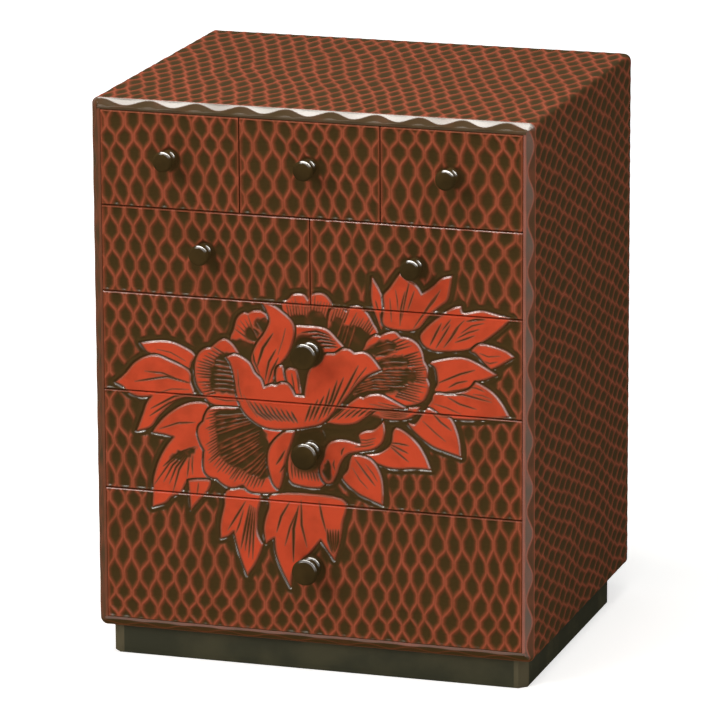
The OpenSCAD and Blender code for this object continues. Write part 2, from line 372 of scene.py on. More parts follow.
def net(across, turns, gap, length, seed):
    """The depth of the net and its red border. Each ridge is a line of constant across, which waves
    once a turn."""
    angle = TAU * turns
    wave = SWING * np.cos(angle)
    slope = np.where(np.abs(wave) < SWING_STOP, SWING * TAU / length * np.sin(angle), 0.0)
    wave = np.clip(wave, -SWING_STOP, SWING_STOP)
    nearest = np.full(across.shape, 1e9)
    first = np.floor(across / gap)
    for k in (-1, 0, 1, 2):
        number = first + k
        sign = np.where(np.mod(number, 2) == 0, 1.0, -1.0)
        away = np.abs(across - number * gap - sign * wave) / np.sqrt(1 + slope * slope)
        nearest = np.minimum(nearest, away)
    scoop = np.clip((nearest - 0.3) / 4.2, 0, 1)
    low = HOLLOW_DEPTH * (1 - (1 - scoop) ** 2.2)
    ripple = np.sin(turns * TAU * 11.0 + 1.5 * wander(across, turns, seed, 9))
    chatter = soft_step(1.6, 3.0, nearest) * ripple
    ridge = RIDGE_HALF + 0.12 * wander(across, turns * length, seed, 17)
    return low + CHATTER * chatter, ridge - nearest


def front_net(x, z):
    """The net as it runs over the fronts, where it leans a little and its cells grow longer near
    the foot."""
    lean = 0.000155 * np.clip(z - 70, 0, None) ** 2 * (0.75 - x / 600)
    across = x + 2.9 + lean + 1.5 * wander(x, z, 11, 85) + 0.42 * wander(x, z, 12, 26)
    slide = 1.6 * wander(x, z, 13, 75) + 0.9 * wander(x, z, 14, 30)
    turns = (z + slide) / CELL_LENGTH + 0.0045 * np.clip(130 - z, 0, None) - 0.19
    turns = turns - 0.013 * np.clip(48 - z, 0, None)
    return net(across, turns, LINE_GAP, CELL_LENGTH, 15)


print("net: ridges %.2f mm apart, cells %.0f mm long" % (LINE_GAP, CELL_LENGTH))

# %% [markdown]
# ## The peony
#
# The flower is a stack of petals and leaves. Each one is drawn with a few points, in millimetres
# from the middle of the chest and up from the table, and a smooth curve joins them. They are
# carved in order from the back of the flower to its front, and each one cuts a steep wall and a
# groove into what lies behind it. That wall is what catches the light as a white line.
#
# The dark hearts of the petals are rows of tapering gouge strokes. A row is given by its first and
# its last stroke and by how many there are, because that is how a carver lays them out.

# %% The leaves, from the back to the front
def twice(*point):
    """A corner in an outline."""
    return [point, point]


LEAVES = {
    "upper_sliver": [
        *twice(41.8, 271.1), (46.6, 263.6), (49, 258), (50, 250), (49.3, 241.4), (48, 236.5),
        (45, 243.5), (41.6, 254), (41.2, 263),
    ],
    "upper_pair": [
        (49.5, 240), (49.8, 252), (49.6, 259.4), (53.8, 264.8), *twice(60.8, 275), (66, 271),
        (72, 267.5), *twice(75.4, 262.4), (82, 267.1), (88.6, 273.4), *twice(95.8, 275.5),
        (94.6, 268), (92.6, 259.5), (87.4, 254.8), (80, 248), (73, 239.2), (62, 237),
    ],
    "right_high": [
        (74.5, 235), (81, 242.8), (89.2, 249.6), (95.8, 254.2), *twice(101.8, 256), (103.5, 251.6),
        (115, 253.9), (124, 252.4), *twice(135.4, 250), (129, 243.6), (122, 237.5), (115, 232.5),
        (106, 227.4), (92, 225.4), (82, 225.5), (76, 229),
    ],
    "right_tip": [
        (112, 230.8), (116, 232), (124, 230.8), (132, 228.3), *twice(137.2, 224.8), (127, 218.2),
        *twice(121.6, 215.5), (116.5, 220.3), (111.5, 225.4), (108.5, 226.8),
    ],
    "right_middle": [
        (80.8, 217), (90, 220.2), (101.8, 222.1), (111, 219.8), *twice(125.8, 212.2), (118, 208.6),
        (111.4, 206.5), (110, 202), (99.4, 198.2), (84.4, 198), (86, 204), (84.5, 213.5),
    ],
    "right_broad": [
        (79.3, 186.8), (82, 192), (84.4, 197), (95, 197.4), (106, 200.6), *twice(111.4, 206.5),
        (117.5, 203.8), (124, 199.4), (129.7, 192.5), *twice(133.9, 185.1), (121, 182.9),
        (109.9, 181.2), (96, 180.9), (86, 182.8),
    ],
    "right_low": [
        (66, 176.2), (71, 175.6), (79, 186.5), (87, 183), (94.5, 181.2), (98.6, 173.5),
        (100.8, 165), *twice(101.6, 155.7), (90.6, 158.8), (82.7, 161.3), (74.7, 166.4),
        (68.5, 172.1),
    ],
    "lower_right": [
        (54, 160), (55.5, 168), (58, 171.7), (64.6, 169), (72.4, 162.4), (77.8, 154),
        *twice(81.1, 145.7), (70, 145.6), (59.8, 144.4), (50.8, 145), (42, 148), (36, 152),
        (46, 154),
    ],
    "lower_sliver": [
        (28, 151), (38, 150.5), (43.8, 146.2), (48, 137), (49, 127), *twice(48.5, 119),
        (40, 122.2), (31, 126.2), (21.4, 134.8), (25, 141),
    ],
    "left_high": [
        *twice(-117.2, 215.9), (-110, 217.5), (-101, 218.5), (-92, 217.2), (-80, 211.2),
        (-82, 205), (-85, 199), (-96, 203), (-109.8, 209), (-113.5, 211),
    ],
    "left_broad": [
        *twice(-135.2, 188), (-128, 194.6), (-122, 201.8), (-114.8, 206.6), (-106.4, 208.5),
        (-98, 206), (-84, 199.8), (-82.4, 191.6), (-81, 184), (-92, 179.6), (-99.2, 173.6),
        (-105.8, 166.4), (-111, 159.4), *twice(-120.8, 155.9), (-116, 168.8), (-113.5, 175.5),
        *twice(-110, 180.5), (-117.8, 179.5), (-124.5, 181.2), (-130, 185.6),
    ],
    "left_low": [
        *twice(-109.7, 155.9), (-106.4, 161), (-98.5, 169.3), (-87.2, 176.6), (-76, 179),
        (-70, 176), (-72, 160), (-72, 140), (-68, 127), (-76, 126), (-85.3, 125), (-90.2, 116.9),
        (-97, 113), (-101.5, 108.4), *twice(-110.5, 105), (-110, 115), (-109.3, 125),
        (-105.6, 137), (-100.5, 146.6), *twice(-95, 153.9), (-102, 155.2),
    ],
    "left_foot": [
        *twice(-85.3, 125), (-78, 126.3), (-70, 126), (-71.5, 119.5), (-77.4, 112.7),
        *twice(-83.8, 104.8), (-84.2, 112), (-84.8, 119),
    ],
    "foot_left": [
        (-57.5, 121), (-60.6, 109), (-63.2, 97), *twice(-63.2, 87.4), (-58, 89.3),
        *twice(-54, 92.9), (-52.2, 85), (-49, 74), *twice(-45, 63.3), (-38.5, 73.5),
        *twice(-33.6, 85.5), (-37.5, 93), (-37.4, 106), (-36, 121),
    ],
    "foot_right": [
        (-25, 121), (-29.6, 110.5), (-33, 98), *twice(-32, 86.2), (-28.6, 89), *twice(-25.8, 90.9),
        (-24.8, 80), (-20.5, 68.5), *twice(-15, 58), (-12.5, 70), (-4, 79), *twice(6, 92),
        (10.5, 85.5), *twice(15.4, 79), (18.6, 90), (21, 104), (20.6, 121),
    ],
}
print("leaves:", len(LEAVES))

# %% The petals, from the back to the front
PETALS = {
    "crown": [
        (-19.6, 247), (-18, 250.4), (-14.6, 253), (-12.4, 255.6), (-8, 256.6), (-4, 256),
        *twice(-1.7, 253), (0.6, 256.4), (5, 258), (9.5, 257.4), (13, 254.3), (15, 250), (16, 238),
        (0, 230), (-14, 234),
    ],
    "crown_right": [
        (13, 246), (16.6, 248.8), (20.8, 249.5), *twice(24.4, 247.5), (27.4, 250.5), (34, 250.8),
        (39, 246.5), (42.4, 240.6), (46, 233), (40, 222), (20, 220), (12, 232),
    ],
    "back_left": [
        (-55, 223), (-52.8, 229), (-50.4, 237), (-46, 241.2), *twice(-42.8, 241), (-38.5, 243.2),
        (-32, 242.6), (-27, 236), (-28, 215), (-41, 208), (-52, 215),
    ],
    "left": [
        (-49.6, 214), (-53.5, 219.5), (-58, 222.6), (-62, 221.8), *twice(-68.6, 216.2),
        (-73, 215.2), (-77.6, 210.8), (-80, 202), (-78.6, 191), (-74, 184.2), (-69, 178.6),
        (-60, 177.2), (-46, 177.5), (-45, 190), (-46, 205),
    ],
    "right": [
        (35.4, 222), (38.5, 228.5), (43.6, 232.8), *twice(47, 232.3), (51, 234.6), (57, 236),
        *twice(61, 232.8), (67, 232.2), (72.4, 228.9), (75.6, 223.6), *twice(76.8, 217.6),
        (79.4, 212.6), *twice(79, 206), (80.4, 201.6), (78.6, 195), (74, 189.6), (60, 186),
        (45, 186), (30, 190), (25, 205), (29, 216),
    ],
    "right_fold": [
        (38, 184.8), (52, 184.8), (64, 186), *twice(74, 187), (71.8, 182.6), (66, 178.8),
        (58, 177.3), (48, 177.4), (40, 178.8),
    ],
    "right_lip": [
        *twice(10, 171.7), (17.6, 178.2), (26.8, 186.4), (32.8, 190.6), *twice(35.4, 190.2),
        (40, 192.6), (47, 193.4), (55, 190.4), *twice(65.2, 185.5), (52, 184), (44, 183),
        (38.2, 178.3), (30, 172.7), (20, 171),
    ],
    "low_left": [
        (-46, 177.2), (-60, 176.9), (-69.4, 175.4), (-73, 170.6), *twice(-74.4, 166),
        (-77.6, 162.4), (-78.4, 157), (-76.6, 151.2), *twice(-74, 146.4), (-74.6, 139),
        (-74.2, 132.6), (-70.6, 128.6), *twice(-65.4, 127.7), (-61, 124.2), (-54.6, 122.4),
        *twice(-47.4, 124.9), (-43.4, 121.3), (-37.6, 120.4), (-27, 121.2), (-22, 123.6),
        (-19.4, 134), (-16.6, 147.4), (-11, 160), (-6, 168), (-20, 174), (-34, 178),
    ],
    "low_left_lip": [
        *twice(-11, 164.4), (-18, 163.4), (-25, 157.6), (-29.3, 150.5), (-30.3, 142),
        (-28.9, 134.2), (-26.2, 127), (-22.4, 124.4), (-20, 131), (-18.4, 141), (-15.8, 150),
        (-13, 157.6),
    ],
    "low_middle": [
        (-14.4, 152), (-16, 145), (-16.2, 136), (-14, 129.6), (-8, 127.7), (0, 127), (7, 128),
        (11, 134), (12, 150), (0, 158),
    ],
    "low_right_lip": [
        (33.4, 159.2), (25, 160.6), (17.6, 160.4), (11.6, 157.4), (8.6, 150.6), (6, 143), (6, 136),
        (9.4, 131), (14, 131.6), (17.2, 137.5), (20.2, 145.8), (25, 151.6), (33, 154), (42, 156.2),
        (48, 160.8), (50.2, 168), *twice(49.3, 175.4), (43, 169.4), (37, 168), (32.4, 165),
    ],
    "heart_arch": [
        (-11, 222), (-11.5, 234), (-4, 235.4), (4.6, 235.5), (11.5, 233.9), (18, 228),
        (22.4, 221.4), (10, 214), (0, 210), (-7, 214),
    ],
    "upright": [
        *twice(-33, 249.2), (-26, 247.9), (-20, 244.4), (-13, 238.4), (-10.8, 232), (-12.1, 224),
        (-15.5, 215.4), (-21.4, 207.4), (-25, 198), (-31, 191), (-37, 201), (-40.9, 210),
        (-37.6, 220), (-31.6, 228.8), (-28.2, 237), (-30, 243.4),
    ],
    "inner_left": [
        (-22.5, 207), *twice(-19.3, 208), (-17.6, 202), (-16, 194), (-20, 193), (-24, 197),
        (-24, 203),
    ],
    "inner_right": [
        (-17.4, 204.2), (-14.2, 206.5), *twice(-9.8, 205.8), (-8, 199), (-6.6, 189), (-11, 187),
        (-14.5, 192), (-16.5, 198),
    ],
    "bowl": [
        *twice(-58.2, 210.6), (-52.6, 213), (-47, 211.4), (-41.6, 207.6), (-38.4, 201.6),
        (-34, 197.6), *twice(-32.2, 192.4), (-27.6, 194.4), (-24, 194.4), (-20, 196.4),
        (-15.4, 195.6), (-12.3, 191.6), *twice(-10.9, 188.5), *twice(-4.6, 188.4), (-3.8, 195),
        (-1.6, 205), (3.4, 212.2), (10, 217.7), (16.4, 218.6), (21.4, 221.9), (26.2, 222),
        *twice(29.6, 219.8), (36, 220.8), (41.6, 217.8), *twice(47.8, 210), (38.2, 205.1),
        (30.4, 197.6), (23.8, 189.2), (16, 179.6), (7.6, 171), (-2, 167.6), (-14, 165.2),
        (-27, 164.5), (-37, 167.2), (-46, 174.4), (-50.6, 184), (-52.8, 198), (-55.4, 206.6),
    ],
}
print("petals:", len(PETALS))

# %% The dark hearts
# The heart of a petal is cut away as a dark patch, before its ribs and its comb of fine strokes
HEARTS = {
    "back_left": [
        [(-44.6, 229), (-42.6, 232.2), (-38, 231.6), (-35, 228), (-36, 223.6), (-41, 222.8),
            (-45, 225.6)],
        [(-38, 233.4), (-36, 237.4), (-31, 238.6), (-29, 234), (-31.6, 229)],
        [(-54.4, 221.6), (-50, 223), (-44, 222), (-38, 220), (-38, 210), (-46, 210), (-51, 215)],
    ],
    "left": [
        [
            (-51, 211), (-57.6, 213.6), (-63.6, 211), (-67, 206.4), (-69.6, 200), (-69.8, 193),
            (-68, 188),
            (-60, 186.4), (-50, 187), (-44, 195),
        ],
    ],
    "right": [
        [(36, 220.6), (42, 225.4), (47, 229), (53, 229.4), (58, 228.4), (57, 224), (48, 219)],
        [(44, 214), (51, 218), (58, 219.6), (65, 219.6), (66.4, 215.8), (62, 213.2), (52, 211.6),
            (45, 210)],
        [
            (16, 180), (28, 196), (36, 204.6), (46, 209.4), (58, 211.4), (66, 212.2), (71.4, 209.8),
            (71, 204.6), (64, 201.8), (64, 198), (54, 195), (40, 192), (28, 188),
        ],
    ],
    "crown": [
        [(-16, 230), (-14, 239.4), (-9, 242.8), (-3, 242), (1, 246), (6, 246), (9.6, 242.6),
            (15, 241), (15, 230)],
    ],
    "crown_right": [
        [
            (11, 228), (13.6, 237), (16.6, 242), (20.6, 242), (23, 237.4), (28, 238),
            (34, 237.4), (39, 234.6),
            (41.6, 229), (34, 220), (20, 222),
        ],
    ],
    "low_left": [
        [
            (-42, 176.6), (-58, 175.6), (-65.6, 172.6), (-66, 166), (-65.4, 158), (-64.4, 147),
            (-59, 139.6),
            (-50, 135.4), (-40, 132), (-32, 130), (-27, 136), (-28, 150), (-31, 160), (-35, 167),
        ],
    ],
    "low_right_lip": [[(9, 143), (8, 137), (10.6, 133), (13, 134), (13, 140), (11.6, 146)]],
    "left_low": [
        [(-79, 148), (-86, 145.6), (-93, 143.6), (-98, 139), (-92, 138.4), (-84, 141)],
    ],
}

# %% The gouge strokes
# Each row of strokes: the first stroke, the last stroke, how many, half their width, and their
# kind. A vein is pointed at both ends, a comb stroke only at its tip, and a rib stands proud.
VEIN, COMB, RIB = "vein", "comb", "rib"


def one(half_width, *line):
    """A single vein."""
    return (list(line), list(line), 1, half_width, VEIN)


STROKES = {
    "upper_sliver": [([(44.2, 256), (46, 250)], [(47, 248), (49, 240)], 2, 0.45, VEIN)],
    "upper_pair": [
        ([(67.2, 270), (65, 261), (62, 246)], [(64, 263), (61.5, 252), (60.8, 241)], 2, 0.6, VEIN),
        one(0.6, (70.4, 264), (68, 257), (65.6, 250)),
        ([(83, 260), (77, 250), (70.4, 240)], [(88, 266), (84, 259), (80, 253)], 3, 0.6, VEIN),
        one(0.4, (57.8, 264), (59, 257), (59.4, 250)),
        one(0.35, (54, 258), (54.6, 250), (55, 243)),
    ],
    "right_high": [
        ([(88.6, 244), (85, 237), (80.8, 228.4)], [(100.6, 243), (96, 236), (90, 227.6)],
            3, 0.75, VEIN),
        ([(104, 247), (99, 241.6), (95, 236)], [(95, 247), (92, 243), (89, 239)], 2, 0.5, VEIN),
        ([(117, 246), (109, 243.6), (102, 238.4)], [(111, 237.4), (104.8, 234.6), (98, 232)],
            3, 0.6, VEIN),
        one(0.8, (118, 248.6), (112, 248), (106, 246.4)),
    ],
    "right_tip": [
        ([(128, 225), (120, 224), (114, 226)], [(126, 221), (121, 219.6), (117, 221)],
            2, 0.35, VEIN),
    ],
    "right_middle": [
        one(0.65, (111, 214.4), (101, 211), (87, 204.4)),
        ([(110, 203.6), (100, 200.2), (92, 198.8)], [(106, 207), (99, 205), (94, 202)],
            2, 0.6, VEIN),
    ],
    "right_broad": [
        one(0.75, (86, 196.4), (103, 197.6), (120, 194.4)),
        one(0.7, (93, 195), (101, 191), (111, 188.8)),
        ([(104, 203), (112, 202.6), (118, 200.6)], [(110, 198.4), (116, 198), (122, 196)],
            2, 0.4, VEIN),
        one(0.4, (84, 190), (92, 188), (102, 184.4)),
    ],
    "right_low": [
        one(0.7, (81.5, 184.8), (88, 178), (95.7, 172.8)),
        one(0.4, (76, 178), (84, 171), (92, 165)),
    ],
    "lower_right": [
        ([(53.5, 161.6), (60, 161.4), (67, 160.6)], [(53.5, 159.6), (60, 154.4), (66.4, 149.8)],
            3, 0.6, VEIN),
    ],
    "lower_sliver": [
        one(0.6, (29.8, 149), (37, 139.6), (43.4, 132)),
        ([(28, 143), (33, 135), (38, 130)], [(37, 146), (42, 140), (45, 135)], 2, 0.35, VEIN),
    ],
    "left_high": [
        ([(-86, 206), (-96, 211), (-106, 212.6)], [(-90, 204.6), (-99, 207.6), (-108, 210)],
            2, 0.35, VEIN),
    ],
    "left_broad": [
        one(0.95, (-82, 191.2), (-99, 194.4), (-119, 190.2)),
        one(0.75, (-92, 193.6), (-102, 196.6), (-115, 197.2)),
        ([(-82, 184.4), (-94, 181.6), (-109, 173)], [(-84, 183), (-98, 176.6), (-110, 168)],
            2, 0.7, VEIN),
        one(0.4, (-84, 187), (-96, 186.4), (-108, 182)),
    ],
    "left_low": [
        one(0.7, (-80, 165), (-92, 163.6), (-105, 158.6)),
        one(0.95, (-80, 148.6), (-92, 143), (-103, 133)),
        ([(-88, 143.6), (-98, 136), (-105, 126)], [(-86, 141.6), (-91.5, 132), (-94.6, 121)],
            4, 0.95, COMB),
        ([(-84, 143), (-85, 134), (-86, 127)], [(-81.6, 144), (-82.4, 136), (-82, 129)],
            2, 0.5, VEIN),
    ],
    "left_foot": [one(0.5, (-78, 124), (-78.6, 120), (-79.4, 115))],
    "foot_left": [
        one(0.7, (-45.6, 114), (-51, 105), (-57.4, 94.6)),
        ([(-42.6, 112), (-46, 96), (-49, 82)], [(-39, 110), (-40.2, 94), (-41, 76)], 4, 0.8, VEIN),
        one(0.6, (-47, 108), (-50, 98), (-52.4, 92)),
    ],
    "foot_right": [
        ([(-15.2, 116), (-21, 106), (-24.2, 95)], [(-9.4, 112), (-15, 99), (-18.8, 85)],
            2, 0.75, VEIN),
        one(1.0, (-9, 114), (-12.6, 98), (-12.8, 78)),
        one(0.75, (-7.2, 118), (-7, 101), (-3, 84.6)),
        one(0.7, (5.2, 118), (7, 108), (10, 97)),
        ([(10.6, 100), (11.4, 92), (13.6, 84)], [(18.4, 100), (17.8, 92), (15.6, 84)],
            5, 1.0, VEIN),
    ],
    "crown": [
        ([(-14, 239), (-16, 248)], [(10, 240), (13, 250)], 15, 0.62, COMB),
        ([(-11, 246), (-12, 251)], [(8, 247), (9.6, 252)], 8, 0.35, VEIN),
    ],
    "crown_right": [
        ([(14, 240), (16.6, 248)], [(23, 240), (26.4, 248)], 6, 0.62, COMB),
        ([(25, 234), (29.6, 243)], [(38, 231), (43, 238)], 9, 0.66, COMB),
        ([(17, 225), (21.6, 238), (24.4, 246)], [(25, 222), (29, 234), (31, 242)], 4, 0.55, RIB),
    ],
    "back_left": [
        ([(-40, 232), (-42, 238)], [(-44, 225), (-50, 229)], 5, 0.55, COMB),
        ([(-36, 224), (-41, 233), (-41, 236)], [(-33, 228), (-37, 235), (-37, 239)], 2, 0.45, RIB),
    ],
    "left": [
        ([(-60, 213), (-65, 216)], [(-67, 206), (-73, 208)], 5, 0.85, COMB),
        ([(-68, 204.6), (-74, 206)], [(-69, 196), (-75, 196)], 6, 0.85, COMB),
        ([(-68, 193), (-74, 192.6)], [(-66, 186), (-71, 184.6)], 5, 0.85, COMB),
        ([(-50, 207), (-58, 207), (-68, 208)], [(-49, 188.4), (-58, 189.4), (-68, 188.6)],
            7, 0.55, RIB),
        one(0.5, (-50, 182), (-58, 181.4), (-67, 182.6)),
    ],
    "right": [
        ([(53, 228), (59, 231.4)], [(58, 224), (65, 226.4)], 4, 0.85, COMB),
        ([(64, 220), (71, 223)], [(66, 214), (74, 215.4)], 5, 0.85, COMB),
        ([(69, 212), (75.4, 213.6)], [(70, 204), (76, 203.4)], 7, 0.85, COMB),
        ([(63, 202), (74, 201)], [(58, 193), (70, 190.4)], 7, 0.75, COMB),
        ([(33, 204), (46, 208.4), (66, 209.6)], [(28, 194), (42, 199), (62, 199.4)], 6, 0.60, RIB),
        ([(24, 189), (38, 196), (56, 197.4)], [(28, 188), (40, 192.6), (56, 193.4)], 2, 0.60, RIB),
        ([(44, 224), (52, 227.4), (60, 228)], [(46, 213), (54, 215), (66, 215.6)], 4, 0.45, RIB),
        ([(38, 215.6), (48, 220.4), (60, 223)], [(40, 214), (50, 217.6), (60, 220.6)],
            2, 0.5, VEIN),
    ],
    "right_fold": [([(46, 183.4), (58, 183), (70, 184.6)], [(48, 179.4), (57, 179), (65, 180)],
        4, 0.5, VEIN)],
    "right_lip": [
        ([(44, 184.4), (39.6, 181), (36.4, 178)], [(24, 183), (18.6, 178), (14, 174)],
            6, 0.6, VEIN),
        ([(46, 188), (56, 186.6), (62, 185.6)], [(40, 186.6), (50, 185.4), (58, 184.6)],
            2, 0.35, VEIN),
    ],
    "low_left": [
        ([(-62, 175), (-68.4, 173.4)], [(-64, 165), (-69.6, 162.6)], 6, 0.75, COMB),
        ([(-63.6, 164), (-69.6, 161)], [(-63, 145), (-68, 140.4)], 11, 0.75, COMB),
        ([(-61, 144), (-65.6, 138.6)], [(-51, 136), (-55, 130.4)], 7, 0.75, COMB),
        ([(-49, 137), (-53, 131)], [(-31, 134), (-34, 126.6)], 10, 0.75, COMB),
        ([(-42, 174), (-54, 172), (-67, 170)], [(-38, 168.6), (-52, 163.6), (-67, 157)],
            5, 0.60, RIB),
        ([(-36, 165), (-50, 158), (-66, 150)], [(-32, 154), (-45, 144), (-58, 135)], 7, 0.60, RIB),
        ([(-31, 150), (-41, 140.4), (-52, 132)], [(-28, 143), (-33, 134), (-39, 127)],
            5, 0.55, RIB),
    ],
    "low_left_lip": [([(-18, 151), (-20.6, 146), (-24, 141)], [(-17, 143), (-19, 139.6),
        (-21.4, 136)], 2, 0.8, VEIN)],
    "low_middle": [
        ([(-13.4, 146), (-13.6, 140), (-13, 133)], [(3, 139), (5.6, 136), (7, 132)], 10, 0.6, VEIN),
    ],
    "low_right_lip": [
        ([(22.6, 156), (21, 153.6), (20.6, 150.6)], [(15.7, 147), (15, 144), (16, 140.6)],
            2, 0.6, VEIN),
        ([(32, 162), (38, 162), (44, 164)], [(30, 157), (37, 158), (43, 160)], 3, 0.4, VEIN),
    ],
    "heart_arch": [
        ([(-6, 231), (4, 232.4), (13, 230.4)], [(2, 221), (10, 222.6), (18.6, 223)], 5, 0.95, VEIN),
    ],
    "upright": [
        one(1.0, (-25.6, 229), (-32.6, 218.6), (-37, 205)),
        one(0.9, (-23.6, 218.6), (-28.6, 209.6), (-31.6, 196)),
        one(0.8, (-22, 213), (-26.6, 204), (-29.4, 195)),
        one(0.7, (-40, 218), (-38.6, 209), (-35, 201)),
        one(0.35, (-17, 233), (-19, 225), (-22, 216)),
    ],
    "inner_right": [([(-9.6, 204), (-8.6, 198), (-8, 191)], [(-13, 203), (-12, 197), (-11, 190)],
        2, 0.5, VEIN)],
    "bowl": [
        ([(-42.6, 182.6), (-37, 174.6), (-30.6, 170.6)], [(-13.4, 177.4), (-11.6, 173.6),
            (-9, 170)], 9, 0.82, VEIN),
        ([(0.4, 184), (-1.6, 178), (-4, 171.6)], [(9, 189.6), (5, 181), (1.4, 172.4)],
            3, 0.75, VEIN),
        one(0.8, (13, 195), (10, 184), (5, 173)),
        one(0.8, (18, 200.6), (14, 188), (8, 174.6)),
        one(0.8, (22.4, 203), (17.4, 191), (11, 176)),
        one(0.95, (32.4, 211.6), (25, 197), (15, 178.6)),
        one(0.5, (38, 211), (32, 203), (27, 195)),
        one(0.35, (-50, 203), (-49.6, 192), (-47, 182)),
        one(0.35, (-46, 186), (-42, 178.6), (-37, 172)),
    ],
}
print("rows of strokes:", sum(len(rows) for rows in STROKES.values()))

# %% [markdown]
# Some parts of the flower are only dark hollows between petals: the space around the third drawer's
# knob, and the one to the right of the fourth drawer's knob. They are carved as dark shapes at
# their place in the stack.

# %% The stack and its dark hollows
HOLLOWS = {
    "hollow_right": [
        (8, 156), (6, 168), (14, 177), (26, 180), (40, 180), (48, 177.5), (49.6, 168), (44, 158),
        (30, 152), (14, 150),
    ],
    "hollow_heart": [
        (-16, 214), (-11, 226), (-4, 229.6), (5, 226), (8, 216), (2, 206), (-2, 192), (-6, 187),
        (-12, 188), (-20, 194), (-26, 199), (-22, 206),
    ],
    "hollow_knob": [
        (-15, 156), (-13, 163), (-6, 167), (4, 169), (9, 164), (9, 156), (7, 146), (4, 139),
        (-3, 136.6), (-10, 138), (-14.4, 146),
    ],
}
ORDER = [
    *LEAVES, "crown", "crown_right", "back_left", "left", "right", "right_fold", "hollow_right",
    "right_lip", "low_left", "low_middle", "hollow_knob", "low_left_lip", "low_right_lip",
    "heart_arch", "hollow_heart", "upright", "inner_left", "inner_right", "bowl",
]
SHAPES = {name: smooth_outline(points) for name, points in {**LEAVES, **PETALS, **HOLLOWS}.items()}
REACH = 7.0
print("stack:", len(ORDER), "shapes")


# %% [markdown]
# Carving one shape changes only the points near it. Outside its outline the wood falls into a
# groove, whose far wall rises again to what lies behind. Inside it, the rim is one flat slanting
# cut. Both of these keep one angle, so that a lamp shows in their whole width. The strokes are cut
# last, and each row wanders a little, as rows cut by hand do.

# %% Gouge strokes in a petal
def near(a, b, outline, reach):
    """The points within reach of an outline's box."""
    low, high = outline.min(axis=0) - reach, outline.max(axis=0) + reach
    return (a > low[0]) & (a < high[0]) & (b > low[1]) & (b < high[1])


def row_of_strokes(first, last, count):
    """The strokes from the first to the last of a row, evenly spread."""
    first, last = np.array(first, float), np.array(last, float)
    return [first + (last - first) * (i / max(count - 1, 1)) for i in range(count)]


def carve_strokes(name, a, b, low, border):
    """Cuts a shape's hearts and gouge strokes into its surface."""
    for heart in HEARTS.get(name, []):
        outline = smooth_outline(heart, 3)
        close = near(a, b, outline, 2.5)
        inside = inside_distance(a[close], b[close], outline)
        inside = inside + 0.7 + 0.5 * wander(a[close], b[close], len(heart), 5)
        low[close] = np.maximum(low[close], np.clip(0.2 + 0.4 * inside, 0, 0.85))
        patchy = -2.4 + 0.9 * wander(a[close], b[close], len(heart) + 7, 9)
        border[close] = np.minimum(border[close], np.maximum(0.6 - 1.6 * inside, patchy))
    draw = np.random.default_rng(len(name) * 31 + ord(name[0]))
    for first, last, count, half_width, kind in STROKES.get(name, []):
        for line in row_of_strokes(first, last, count):
            size = half_width * draw.uniform(0.85, 1.15)
            longer = (0.1, 0.8) if kind == COMB else (-0.2, 0.3) if kind == RIB else (-0.12, 0.12)
            line[-1] += (line[-1] - line[-2]) * draw.uniform(*longer)
            if kind == RIB:
                line[0] += (line[1] - line[0]) * draw.uniform(-0.1, 0.3)
                line += draw.uniform(-0.45, 0.45, 2)
                line[1] += draw.uniform(-0.5, 0.5, 2)
            close = near(a, b, line, 3.5)
            if not close.any():
                continue
            inside = stroke_distance(a[close], b[close], line, size, kind == COMB)
            if kind == RIB:
                inside = inside + 0.22 * wander(a[close], b[close], count, 7)
                low[close] = np.minimum(low[close], np.clip(0.45 - inside, 0.3, None))
                border[close] = np.maximum(border[close], 2.2 * inside - 1.3)
            else:
                cut = np.clip(0.85 * inside + 0.10, 0, 0.75)
                low[close] = np.maximum(low[close], low[close] * 0.35 + cut)
                border[close] = np.minimum(border[close], 0.25 - 3.2 * inside)


# %% Carving one shape
PLAIN_SHINE = 0.25
RIM_FACET, RIM_DROP = 0.85, 1.02
WALL_START, WALL_WIDTH = 0.75, 0.70
WALL_LOW, WALL_DROP = 1.15, 0.84
# The lowest leaves, whose rims get the coat, and so the painted glints, only low down
LOWEST = {"left_foot", "foot_left", "foot_right"}


